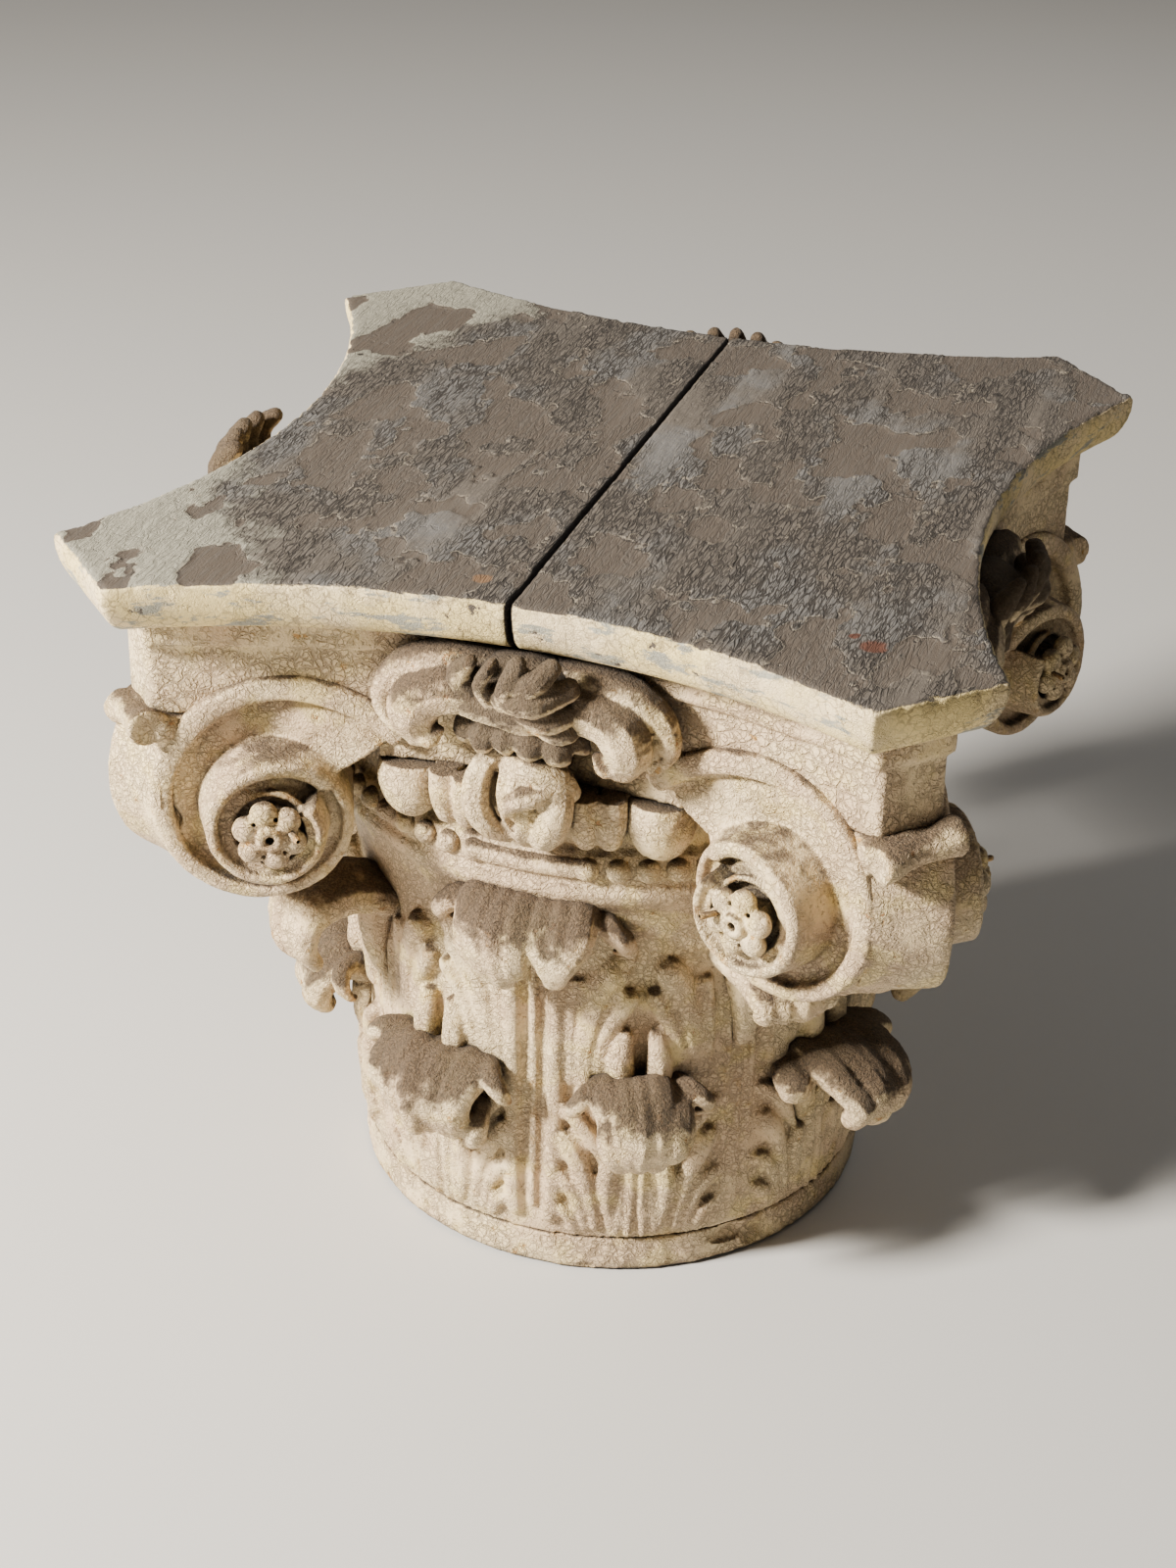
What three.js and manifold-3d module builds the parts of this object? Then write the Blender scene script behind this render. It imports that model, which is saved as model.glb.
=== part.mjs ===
// A carved and painted wooden column capital of the composite order, for a round shaft.
// Two thick boards with an ovolo edge form the abacus, a carved body holds the frieze, eight angled
// volutes, the egg-and-dart band and two tiers of acanthus leaves, and a thin board forms the foot.
// Millimetres, +Z up, origin at the centre of the underside, front face towards -Y.
import * as THREE from "three";
import { mergeVertices } from "three/addons/utils/BufferGeometryUtils.js";
import Module from "manifold-3d";

const wasm = await Module();
wasm.setup();

// Driving dimensions
const HALF_WIDTH = 305; // from the axis to a horn tip, half of the 24 inch overall width
const HORN_POINT = 239; // the other coordinate of a horn tip
const SIDE_DEPTHS = [242, 250, 257, 240]; // axis to the middle of the front, right, back and left sides
const TOP = 542;
const BOARD = 38; // thickness of the abacus boards
const OVOLO = 20; // how far the rounded edge of the boards draws in at the bottom
const ARRIS = 3; // worn rounding of the top edge
const SEAM = 3.6; // open gap between the two boards
const JOINT_GAP = 0.4; // clearance between glued pieces
const FOOT_RADIUS = 186;
const FOOT_BOARD = 28; // thickness of the foot board
// How far the volutes, husks and flower of each side stand out beyond those of the front
const PUSHES = [0, 25, 13, 20];
const CORNER_SHARE = 0.65; // part of both sides' push that moves the strap on their corner

// Frieze under the boards: inset of its four sides from the top outline, and |x| + |y| on its cut
// corners
const FILLET = { insets: [38, 21, 38, 21], chamfer: 496, bottom: 478 };
const FRIEZE = { insets: [46, 25, 46, 25], chamfer: 489, bottom: 430 };

// Bell, astragal and ovolo core, as radii at heights
const BELL = { waist: 183, waistHeight: 120, lip: 201, lipHeight: 322 };
const BEADS = { radius: 200, height: 338, thick: 8 };
const CORE = { radius: 192, low: 356, high: 396, top: 440, topRadius: 180 };

// Egg-and-dart band, at angles from the middle of a face
const EGG = { angle: 24.4, radius: 205, height: 384, wide: 47, deep: 44, tall: 64, cut: 395 };
const DART = { angle: 13.2, radius: 208, height: 378, wide: 38, deep: 36, tall: 34 };

// Flower and husks in the middle of a face
const WORN_FLOWER = { across: 4, out: 226, height: 466, wide: 41, deep: 34, tall: 38 };
const FLOWER = { across: 0, out: 243, height: 490, wide: 40, deep: 34, tall: 48 };
const HUSK = [
  // distance along the face, out from the axis, height and radius of the husk
  [0, 212, 462, 24],
  [36, 222, 471, 24],
  [68, 226, 468, 23],
  [88, 228, 452, 20],
  [88, 228, 434, 16],
  [77, 226, 424, 8],
];
const CENTRE_LEAF = [
  // distance out from the axis, height and radius of the leaf between the darts
  [196, 434, 20],
  [214, 424, 28],
  [221, 400, 31],
  [216, 376, 26],
  [208, 362, 12],
];

// One volute, on the right half of the front face
const VOLUTE = {
  across: 174.4, // from the axis to the eye, along the face
  forward: 221.4, // from the axis to the plane of the disc behind the eye
  height: 354.4,
  turned: 22.8, // degrees that the disc turns towards the corner
  innerRadius: 30, // the coil's radius dies away to this
  growth: 66.5, // and is larger by this at the top
  decay: 262, // degrees of turn over which the growth dies away
  shift: [-3, 4], // centre of the coil from the eye, towards the axis and up
  firstAngle: -56, // degrees from the top, where the band leaves the frieze
  perTurn: 11, // stations in one turn of the coil
  crest: 9, // height of the rim over the disc's plane at the top
  rise: 12, // gain of the crest in a full turn
  swell: 14, // and its further gain where the first turn becomes the second
  swellFrom: 250, // degrees, and over how many the swell comes up
  swellOver: 150,
  rim: 15, // width of the rim
  round: 4, // rounding of the rim's edges
  channel: 9, // depth of the channel below the rim
  wall: 8, // spread of the sloping wall of the inner whorl
  back: 42, // depth of the disc behind its plane
  eyeRadius: 21, // where the second turn ends, under the rosette
  eyeHeight: 22, // height of the flat eye under the rosette
};
const ROSETTE = { radius: 27, notch: 0.84, base: 12, front: 48 };

// Rolled strap down each corner, between its two volutes
const ROLL = { out: 345, height: 426, radius: 15, waist: 12, half: 33 };
const STRAP = { half: 28, inner: 275 };
const STRAP_FRONT = [
  // distance out along the diagonal and height, down the folded front of the strap
  [341, 430],
  [331, 392],
  [338, 386],
  [328, 348],
  [335, 341],
  [319, 305],
];

// Acanthus leaves round the bell
const LEAF_COUNT = 8;
const LOWER_LEAF = { tip: 228, height: 154, base: FOOT_BOARD + JOINT_GAP, half: 54, thick: 12 };
const UPPER_LEAF = { tip: 224, height: 292, base: 150, half: 50, thick: 10 };
const CORNER_LEAF = { tip: 264, height: 266, base: 150, half: 46, thick: 12 };

const CREAM = 0xd9c9aa;
const GREY = 0x8d857a;

const FACES = 4;
const DRUM_SIDES = 26;
const radians = (degrees) => (degrees * Math.PI) / 180;

// A closed solid from a geometry, with its faces turned outwards where they point in.
function solid(geometry) {
  const bare = geometry.index ? geometry.toNonIndexed() : geometry.clone();
  bare.deleteAttribute("normal");
  bare.deleteAttribute("uv");
  const merged = mergeVertices(bare, 1e-3);
  const corners = merged.attributes.position;
  const order = new Uint32Array(merged.index.array);
  const [a, b, c] = [new THREE.Vector3(), new THREE.Vector3(), new THREE.Vector3()];
  let volume = 0;
  for (let i = 0; i < order.length; i += 3) {
    a.fromBufferAttribute(corners, order[i]);
    b.fromBufferAttribute(corners, order[i + 1]);
    c.fromBufferAttribute(corners, order[i + 2]);
    volume += a.dot(b.cross(c));
  }
  if (volume < 0) {
    for (let i = 0; i < order.length; i += 3) {
      [order[i + 1], order[i + 2]] = [order[i + 2], order[i + 1]];
    }
  }
  const mesh = new wasm.Mesh({ numProp: 3, vertProperties: corners.array, triVerts: order });
  return new wasm.Manifold(mesh);
}

// The surface of a solid, as flat-shaded geometry.
function surface(body) {
  const { vertProperties, triVerts } = body.getMesh();
  const geometry = new THREE.BufferGeometry();
  geometry.setAttribute("position", new THREE.BufferAttribute(new Float32Array(vertProperties), 3));
  geometry.setIndex(new THREE.BufferAttribute(new Uint32Array(triVerts), 1));
  const flat = geometry.toNonIndexed();
  flat.computeVertexNormals();
  return flat;
}

const join = (bodies) => bodies.reduce((all, body) => all.add(body));

// The largest closed shell of a joined body: pockets sealed inside it are left out.
function withoutPockets(body) {
  return body.decompose().reduce((best, part) => (part.volume() > best.volume() ? part : best));
}

function box(low, high) {
  const size = high.map((value, i) => value - low[i]);
  const middle = high.map((value, i) => (value + low[i]) / 2);
  return solid(new THREE.BoxGeometry(...size).translate(...middle));
}

// A solid lofted through closed rings with equal numbers of points. Both end caps are cut into the
// same triangles as the first ring, seen flat through the flatten function.
function loft(rings, flatten) {
  const places = [];
  const face = (...corners) => corners.forEach((corner) => places.push(...corner));
  for (let i = 0; i + 1 < rings.length; i += 1) {
    rings[i].forEach((point, k) => {
      const next = (k + 1) % rings[i].length;
      face(point, rings[i][next], rings[i + 1][next]);
      face(point, rings[i + 1][next], rings[i + 1][k]);
    });
  }
  const outline = rings[0].map((point) => new THREE.Vector2(...flatten(point)));
  const backwards = THREE.ShapeUtils.isClockWise(outline);
  for (const corners of THREE.ShapeUtils.triangulateShape(outline, [])) {
    const [p, q, r] = backwards ? corners.toReversed() : corners;
    face(rings[0][r], rings[0][q], rings[0][p]);
    face(rings.at(-1)[p], rings.at(-1)[q], rings.at(-1)[r]);
  }
  const geometry = new THREE.BufferGeometry();
  geometry.setAttribute("position", new THREE.Float32BufferAttribute(places, 3));
  return solid(geometry);
}

const fromAbove = ([x, y]) => [x, y];
const fromFront = ([x, , z]) => [x, z];
const inRadialPlane = ([x, y, z]) => [Math.hypot(x, y), z];

// A point on the drum: angle in degrees from the middle of the front face towards the right.
function onDrum(angle, radius, z) {
  const turn = radians(angle - 90);
  return [radius * Math.cos(turn), radius * Math.sin(turn), z];
}

// The hollow side arc for an inset, and how far it reaches to the inset cut corner.
function sideArc(depth, inset, chamfer) {
  const sagitta = HALF_WIDTH - depth;
  const radius = (HORN_POINT ** 2 + sagitta ** 2) / (2 * sagitta) + inset;
  const centre = inset - depth - radius;
  // x - y = chamfer on the circle x^2 + (y - centre)^2 = radius^2
  const gap = chamfer + centre;
  const x = (gap + Math.sqrt(2 * radius ** 2 - gap ** 2)) / 2;
  return { radius, centre, reach: Math.asin(x / radius) };
}

// Outline of the abacus at a height, with four hollow sides and four cut corners.
function abacusRing(insets, chamfer, z, steps) {
  const ring = [];
  SIDE_DEPTHS.forEach((depth, side) => {
    const { radius, centre, reach } = sideArc(depth, insets[side], chamfer);
    for (let i = 0; i <= steps; i += 1) {
      const turn = reach * ((2 * i) / steps - 1);
      const point = new THREE.Vector2(radius * Math.sin(turn), centre + radius * Math.cos(turn));
      point.rotateAround(new THREE.Vector2(), (side * Math.PI) / 2);
      ring.push([point.x, point.y, z]);
    }
  });
  return ring;
}

// The abacus: outlines stacked up the rounded edge, then cut in two along the seam.
function abacusBoards() {
  const steps = 6;
  const levels = 3;
  const ring = (inset, z) =>
    abacusRing(SIDE_DEPTHS.map(() => inset), HALF_WIDTH + HORN_POINT - inset * Math.SQRT2, z, steps);
  const rings = [];
  for (let i = 0; i <= levels; i += 1) {
    const turn = (i / levels) * (Math.PI / 2);
    const z = TOP - BOARD + (BOARD - ARRIS) * (1 - Math.cos(turn));
    rings.push(ring(OVOLO * (1 - Math.sin(turn)), z));
  }
  rings.push(ring(ARRIS, TOP));
  const whole = loft(rings, fromAbove);
  const far = HALF_WIDTH + 10;
  const left = whole.intersect(box([-far, -far, 0], [-SEAM / 2, far, TOP + 10]));
  const right = whole.intersect(box([SEAM / 2, -far, 0], [far, far, TOP + 10]));
  return { left, right };
}

// The band under the boards: a thin fillet over a plain frieze.
function frieze() {
  const steps = 5;
  const top = TOP - BOARD - JOINT_GAP;
  const fillet = [FILLET.bottom, top].map((z) => abacusRing(FILLET.insets, FILLET.chamfer, z, steps));
  const face = [FRIEZE.bottom, top - 5].map((z) => abacusRing(FRIEZE.insets, FRIEZE.chamfer, z, steps));
  return loft(fillet, fromAbove).add(loft(face, fromAbove));
}

// The room that the boards take up, which the flowers have to leave free.
function boardRoom() {
  const chamfer = HALF_WIDTH + HORN_POINT;
  const free = SIDE_DEPTHS.map(() => -JOINT_GAP);
  const rings = [TOP - BOARD - JOINT_GAP, TOP].map((z) => abacusRing(free, chamfer, z, 6));
  return loft(rings, fromAbove);
}

// The round drum: bell, lip, astragal and the core of the ovolo, turned about the axis.
function bell() {
  const low = FOOT_BOARD + JOINT_GAP;
  const profile = [
    [0, low],
    [FOOT_RADIUS, low],
    [BELL.waist, BELL.waistHeight],
    [BELL.waist + 4, (BELL.waistHeight + BELL.lipHeight) / 2 + 20],
    [BELL.lip, BELL.lipHeight],
    [BEADS.radius, BEADS.height - BEADS.thick],
    [BEADS.radius + BEADS.thick, BEADS.height],
    [CORE.radius, CORE.low],
    [CORE.radius, CORE.high],
    [CORE.topRadius, CORE.top],
    [0, CORE.top],
  ];
  const points = profile.map(([radius, z]) => new THREE.Vector2(radius, z));
  return solid(new THREE.LatheGeometry(points, DRUM_SIDES).rotateX(Math.PI / 2));
}

// A unit shape scaled, turned to face outwards and set on the drum.
function setOnDrum(geometry, { angle, radius, height, wide, deep, tall }, side) {
  geometry.rotateX(Math.PI / 2).scale(wide, deep, tall);
  geometry.rotateZ(radians(angle * side)).translate(...onDrum(angle * side, radius, height));
  return solid(geometry);
}

function egg(side) {
  const whole = setOnDrum(new THREE.SphereGeometry(0.5, 7, 4), EGG, side);
  return whole.intersect(box([-HALF_WIDTH, -HALF_WIDTH, 0], [HALF_WIDTH, HALF_WIDTH, EGG.cut]));
}

const dart = (side) => setOnDrum(new THREE.CylinderGeometry(0.5, 0.42, 1, 6), DART, side);

// A tube of changing thickness through points given as [x, y, z, radius], in a plane of equal depth.
function tapered(points, sides, across) {
  const centres = points.map(([x, y, z]) => new THREE.Vector3(x, y, z));
  const rings = points.map(([, , , radius], i) => {
    const before = centres[Math.max(i - 1, 0)];
    const after = centres[Math.min(i + 1, centres.length - 1)];
    const along = after.clone().sub(before);
    const first = along.clone().cross(across).normalize();
    return Array.from({ length: sides }, (unused, k) => {
      const turn = (k / sides) * 2 * Math.PI;
      const place = centres[i].clone().addScaledVector(first, radius * Math.cos(turn));
      return place.addScaledVector(across, radius * Math.sin(turn)).toArray();
    });
  });
  const origin = centres[0];
  const axis = centres[1].clone().sub(origin).cross(across).normalize();
  const flatten = (place) => {
    const from = new THREE.Vector3(...place).sub(origin);
    return [from.dot(axis), from.dot(across)];
  };
  return loft(rings, flatten);
}

function husk(side) {
  const points = HUSK.map(([along, out, z, radius]) => [side * along, -out, z, radius]);
  return tapered(points, 5, new THREE.Vector3(0, 1, 0));
}

function centreLeaf() {
  const points = CENTRE_LEAF.map(([out, z, radius]) => [0, -out, z, radius]);
  return tapered(points, 7, new THREE.Vector3(1, 0, 0));
}

function flower({ across, out, height, wide, deep, tall }) {
  const shape = new THREE.IcosahedronGeometry(1, 1).scale(wide, deep, tall);
  return solid(shape.translate(across, -out, height));
}

// Radius of the coil at an angle in degrees from its top, turning towards the corner.
const coilRadius = (angle) => VOLUTE.innerRadius + VOLUTE.growth * Math.exp(-angle / VOLUTE.decay);

// Height of the coil's crest over the disc's plane.
function crestHeight(angle) {
  const { crest, rise, swell, swellFrom, swellOver } = VOLUTE;
  const swelling = THREE.MathUtils.smoothstep(angle, swellFrom, swellFrom + swellOver);
  return crest + (rise * angle) / 360 + swell * swelling;
}

// A place on the volute: angle and radius in its disc, and height over the disc's plane.
function onVolute(angle, radius, height) {
  const across = radius * Math.sin(radians(angle)) + VOLUTE.shift[0];
  const up = radius * Math.cos(radians(angle)) + VOLUTE.shift[1];
  const turned = radians(VOLUTE.turned);
  return [
    VOLUTE.across + across * Math.cos(turned) - height * Math.sin(turned),
    -VOLUTE.forward - across * Math.sin(turned) - height * Math.cos(turned),
    VOLUTE.height + up,
  ];
}

// Distance from the centre of the coil and height over the disc's plane of a place on the volute.
function inCoilSection([x, y, z]) {
  const turned = radians(VOLUTE.turned);
  const [right, front] = [x - VOLUTE.across, -y - VOLUTE.forward];
  const across = right * Math.cos(turned) + front * Math.sin(turned) - VOLUTE.shift[0];
  const height = front * Math.cos(turned) - right * Math.sin(turned);
  return [Math.hypot(across, z - VOLUTE.height - VOLUTE.shift[1]), height];
}

// The section of the band at a station: radius and height of each point, from the rim inwards.
function bandSection(angle, inner) {
  const outer = coilRadius(angle);
  const gap = outer - inner;
  const crest = crestHeight(angle);
  const rim = Math.min(VOLUTE.rim, gap * 0.36);
  const round = Math.min(VOLUTE.round, gap * 0.1);
  return [
    onVolute(angle, outer, crest - round / 2),
    onVolute(angle, outer - rim, crest),
    onVolute(angle, outer - rim - round, crest - VOLUTE.channel),
  ];
}

// The coil as one closed surface: two turns of the band, the sloping wall between them, the side
// and the flat back of the block, and the cut ends of the band at both turns.
function coil() {
  const { firstAngle, perTurn, channel, wall, back, eyeRadius, eyeHeight } = VOLUTE;
  const step = 360 / perTurn;
  const centreFloor = onVolute(0, 0, eyeHeight);
  const centreBack = onVolute(0, 0, -back);
  const stations = Array.from({ length: 2 * perTurn + 1 }, (unused, i) => {
    const angle = firstAngle + i * step;
    const inner = i < perTurn ? coilRadius(angle + 360) : eyeRadius;
    return bandSection(angle, i === perTurn ? eyeRadius : inner);
  });
  // Foot of the inner whorl's wall, seen from the first turn's channel.
  const feet = Array.from({ length: perTurn + 1 }, (unused, i) => {
    const angle = firstAngle + i * step;
    const inner = coilRadius(angle + 360);
    const spread = Math.min(wall, (coilRadius(angle) - inner) * 0.2);
    return onVolute(angle, inner + spread, crestHeight(Math.min(angle, VOLUTE.swellFrom)) - channel);
  });
  const eye = Array.from({ length: perTurn }, (unused, i) =>
    onVolute(firstAngle + i * step, eyeRadius, eyeHeight + 1),
  );
  const side = Array.from({ length: perTurn }, (unused, i) => {
    const radius = coilRadius(firstAngle + i * step);
    return [onVolute(firstAngle + i * step, radius, -back), onVolute(firstAngle + i * step, radius, -1)];
  });
  const [footX, footY, footZ] = feet[0];
  const drop = inCoilSection([footX, footY, footZ])[1] + back;
  const turned = radians(VOLUTE.turned);
  side.push([[footX + drop * Math.sin(turned), footY + drop * Math.cos(turned), footZ], feet[0]]);

  const places = [];
  const triangle = (p, q, r) => places.push(...p, ...q, ...r);
  const strip = (p, q, r, s) => {
    triangle(p, q, r);
    triangle(p, r, s);
  };
  const fan = (corners) => {
    for (let i = 1; i + 1 < corners.length; i += 1) triangle(corners[0], corners[i], corners[i + 1]);
  };
  for (let i = 0; i < 2 * perTurn; i += 1) {
    const [here, next] = [stations[i], stations[i + 1]];
    const k = i % perTurn;
    const [hereFoot, nextFoot] = i < perTurn ? [side[k][1], side[k + 1][1]] : [feet[k], feet[k + 1]];
    strip(hereFoot, nextFoot, next[0], here[0]);
    for (let j = 0; j < 2; j += 1) strip(here[j], next[j], next[j + 1], here[j + 1]);
    const nextEye = eye[(k + 1) % perTurn];
    if (i < perTurn) {
      strip(here[2], next[2], feet[k + 1], feet[k]);
      strip(side[k][0], side[k + 1][0], side[k + 1][1], side[k][1]);
      triangle(centreBack, side[k + 1][0], side[k][0]);
    } else {
      strip(here[2], next[2], nextEye, eye[k]);
      triangle(eye[k], nextEye, centreFloor);
    }
  }
  triangle(centreBack, side[0][0], side[perTurn][0]);
  fan([side[0][0], side[0][1], ...stations[0], feet[0], side[perTurn][0]]);
  fan([stations[perTurn][2], eye[0], ...stations[2 * perTurn].toReversed(), feet[perTurn]]);
  const geometry = new THREE.BufferGeometry();
  geometry.setAttribute("position", new THREE.Float32BufferAttribute(places, 3));
  return solid(geometry);
}

// Six petals round the eye of the volute.
function rosette() {
  const rings = [
    [1, ROSETTE.base],
    [0.85, ROSETTE.front],
  ].map(([scale, height]) =>
    Array.from({ length: 12 }, (unused, k) => {
      const lobe = k % 2 ? ROSETTE.notch : 1;
      return onVolute(k * 30, ROSETTE.radius * scale * lobe, height);
    }),
  );
  return loft(rings, fromFront);
}

const volute = () => coil().add(rosette());

// A point on the corner between front and right: out along the diagonal, sideways, and height.
function onCorner(out, side, z) {
  return [(out + side) / Math.SQRT2, (side - out) / Math.SQRT2, z];
}

// The strap's folded front, drawn as a section along the diagonal, under its rolled top.
function cornerStrap() {
  const section = [...STRAP_FRONT, [STRAP.inner, STRAP_FRONT.at(-1)[1]], [STRAP.inner, STRAP_FRONT[0][1]]];
  const rings = [-STRAP.half, STRAP.half].map((side) => section.map(([out, z]) => onCorner(out, side, z)));
  const along = ([x, y, z]) => [(x - y) / Math.SQRT2, z];
  const knob = ROLL.radius * 0.6;
  const rollPoints = [
    [-ROLL.half, knob],
    [-ROLL.half + 7, ROLL.radius],
    [0, ROLL.waist],
    [ROLL.half - 7, ROLL.radius],
    [ROLL.half, knob],
  ].map(([side, radius]) => [...onCorner(ROLL.out, side, ROLL.height), radius]);
  const roll = tapered(rollPoints, 8, new THREE.Vector3(0, 0, 1));
  return loft(rings, along).add(roll);
}

// A leaf on the drum: its section in the radial plane, lofted across its width.
function leaf({ tip, height, base, half, thick }, angle) {
  const drum = BELL.waist;
  const neck = drum + 6;
  const rings = [-1, -0.6, 0, 0.6, 1].map((across) => {
    const lift = Math.max(Math.cos((across * Math.PI) / 2), 0) ** 0.6;
    const reach = neck + 4 + (tip - neck - 4) * lift;
    const drop = 12 * across ** 2;
    const section = [
      [drum - 20, base],
      [neck, base],
      [neck + thick * lift, height - 28 - drop],
      [Math.max(reach - 10, neck + 2), height - 22 - drop],
      [reach, height - 6 - drop],
      [Math.max(reach - 16, neck + 1), height + 12 - drop],
      [drum - 20, height + 18 - drop],
    ];
    return section.map(([radius, z], k) => {
      const width = k >= 3 && k <= 5 ? half * 0.74 : half;
      return onDrum(angle + (across * width * 180) / (Math.PI * drum), radius, z);
    });
  });
  return loft(rings, inRadialPlane);
}

function leaves() {
  const made = [];
  for (let i = 0; i < LEAF_COUNT; i += 1) {
    const angle = (i * 360) / LEAF_COUNT;
    made.push(leaf(LOWER_LEAF, angle + 180 / LEAF_COUNT));
    made.push(leaf(i % 2 ? CORNER_LEAF : UPPER_LEAF, angle));
  }
  return made;
}

// What repeats on the four faces, made for the front and turned: eggs, darts and the leaf between
// them stay on the drum, volutes, husks and flower are pushed out, and the strap goes with both sides.
function faceWork() {
  const right = volute();
  const onBell = join([egg(-1), egg(1), dart(-1), dart(1), centreLeaf()]);
  const proud = join([right, right.mirror([1, 0, 0]), husk(-1), husk(1)]);
  const strap = cornerStrap();
  return PUSHES.map((push, side) => {
    const next = PUSHES[(side + 1) % FACES];
    const corner = strap.translate([next * CORNER_SHARE, -push * CORNER_SHARE, 0]);
    const outer = proud.add(flower(side ? FLOWER : WORN_FLOWER)).translate([0, -push, 0]);
    return join([onBell, outer, corner]).rotate([0, 0, (side * 360) / FACES]);
  });
}

function capitalBody() {
  const whole = join([bell(), frieze(), ...leaves(), ...faceWork()]);
  return withoutPockets(whole.subtract(boardRoom()));
}

function footBoard() {
  const profile = [
    [0, 0],
    [FOOT_RADIUS - 2, 0],
    [FOOT_RADIUS, 3],
    [FOOT_RADIUS, FOOT_BOARD],
    [0, FOOT_BOARD],
  ];
  const points = profile.map(([radius, z]) => new THREE.Vector2(radius, z));
  return solid(new THREE.LatheGeometry(points, DRUM_SIDES).rotateX(Math.PI / 2));
}

function piece(name, body, color) {
  const material = new THREE.MeshStandardMaterial({ color, roughness: 0.85, metalness: 0 });
  const mesh = new THREE.Mesh(surface(body), material);
  mesh.name = name;
  return mesh;
}

const capital = new THREE.Group();
const boards = abacusBoards();
capital.add(piece("abacus_board_left", boards.left, GREY));
capital.add(piece("abacus_board_right", boards.right, GREY));
capital.add(piece("capital_body", capitalBody(), CREAM));
capital.add(piece("foot_board", footBoard(), CREAM));

export default capital;
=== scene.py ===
# %% [markdown]
# # A carved and painted wooden column capital
#
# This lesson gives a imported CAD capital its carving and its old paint. The CAD solids are already at
# their real size. Here every one of them is replaced by a finer carved mesh in the same place: two
# boards on top, a frieze, eight volutes, rolled corner straps, an egg-and-dart band, flowers, husks
# and two tiers of acanthus leaves round a bell.

import math
import random

import bmesh
import bpy
import numpy as np
from mathutils import Matrix, Vector, noise


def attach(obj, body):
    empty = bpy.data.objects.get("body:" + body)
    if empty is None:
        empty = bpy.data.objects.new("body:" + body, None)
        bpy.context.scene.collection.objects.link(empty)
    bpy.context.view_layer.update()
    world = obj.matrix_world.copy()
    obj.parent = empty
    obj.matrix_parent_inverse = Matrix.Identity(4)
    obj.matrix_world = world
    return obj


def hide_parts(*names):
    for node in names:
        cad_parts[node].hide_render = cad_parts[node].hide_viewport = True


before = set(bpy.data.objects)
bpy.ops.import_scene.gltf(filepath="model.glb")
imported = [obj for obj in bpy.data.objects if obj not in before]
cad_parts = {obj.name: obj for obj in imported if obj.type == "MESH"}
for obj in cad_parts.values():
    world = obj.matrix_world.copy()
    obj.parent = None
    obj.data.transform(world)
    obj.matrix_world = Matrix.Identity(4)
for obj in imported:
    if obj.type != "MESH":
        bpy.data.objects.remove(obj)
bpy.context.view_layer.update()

# %% [markdown]
# The frame is in metres, and a carver's drawing is in millimetres. One constant turns the one into the
# other, and the sizes of the whole work stand here. They repeat the driving dimensions of the solids.

# %% Sizes of the whole work
MM = 0.001
HALF_WIDTH = 305  # axis to a horn tip
HORN_POINT = 239  # the other coordinate of a horn tip
SIDE_DEPTHS = (242, 250, 257, 240)  # axis to the middle of the front, right, back and left sides
TOP = 542
BOARD = 38
OVOLO = 20
SEAM = 3.0
JOINT_GAP = 0.4
FOOT_RADIUS = 186
FOOT_BOARD = 28
FACES = 4
PUSHES = (0, 25, 13, 20)  # how far the ornament of each side stands out beyond that of the front
CORNER_SHARE = 0.65  # how much of it a corner strap follows
print("height", TOP, "mm, board", BOARD, "mm")

# %% [markdown]
# ## Camera
#
# The camera stands in front, a little to the right and well above, and looks down at 29 degrees. Its
# place and turn are given as angles, and the matrix is built from the three directions that they give.

# %% Camera
CAMERA_PLACE = Vector((0.5007, -1.6569, 1.2542))
CAMERA_YAW = math.radians(-17.57)
CAMERA_PITCH = math.radians(29.11)
CAMERA_ROLL = math.radians(1.10)
FOCAL_PIXELS = 2821.3  # for a frame 1600 pixels high
FRAME_HIGH = 1600
SENSOR = 36.0


def camera_turn():
    ahead = Vector((
        math.sin(CAMERA_YAW) * math.cos(CAMERA_PITCH),
        math.cos(CAMERA_YAW) * math.cos(CAMERA_PITCH),
        -math.sin(CAMERA_PITCH),
    ))
    level = ahead.cross(Vector((0, 0, 1))).normalized()
    above = level.cross(ahead)
    right = math.cos(CAMERA_ROLL) * level + math.sin(CAMERA_ROLL) * above
    up = math.cos(CAMERA_ROLL) * above - math.sin(CAMERA_ROLL) * level
    return Matrix((right, up, -ahead)).transposed().to_4x4()


bpy.ops.object.camera_add(location=CAMERA_PLACE)
camera = bpy.context.object
camera.name = "camera"
camera.matrix_world = Matrix.Translation(CAMERA_PLACE) @ camera_turn()
camera.data.lens = FOCAL_PIXELS / FRAME_HIGH * SENSOR
camera.data.sensor_width = SENSOR
camera.data.clip_end = 50
bpy.context.scene.camera = camera
print("lens", round(camera.data.lens, 2), "mm")

# %% [markdown]
# ## Floor and light
#
# A pale matt floor and three lamps. The main one is small, so that its shadows are crisp, and stands
# high on the left, so that it rakes over the boards and draws the carving. A weak and broad one on the
# right keeps the shaded side readable, and one behind draws the far edges.

# %% Floor
FLOOR_SIZE = 12
FLOOR_HEIGHT = -0.0006  # a little lower than the underside, so that the two don't coincide
FLOOR_COLOR = (0.54, 0.53, 0.51)
WORLD_COLOR = (1.0, 0.97, 0.93)
WORLD_STRENGTH = 0.06


def plain_material(name, color, roughness):
    material = bpy.data.materials.new(name)
    material.use_nodes = True
    shader = material.node_tree.nodes["Principled BSDF"]
    shader.inputs["Base Color"].default_value = (*color, 1)
    shader.inputs["Roughness"].default_value = roughness
    return material


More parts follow.
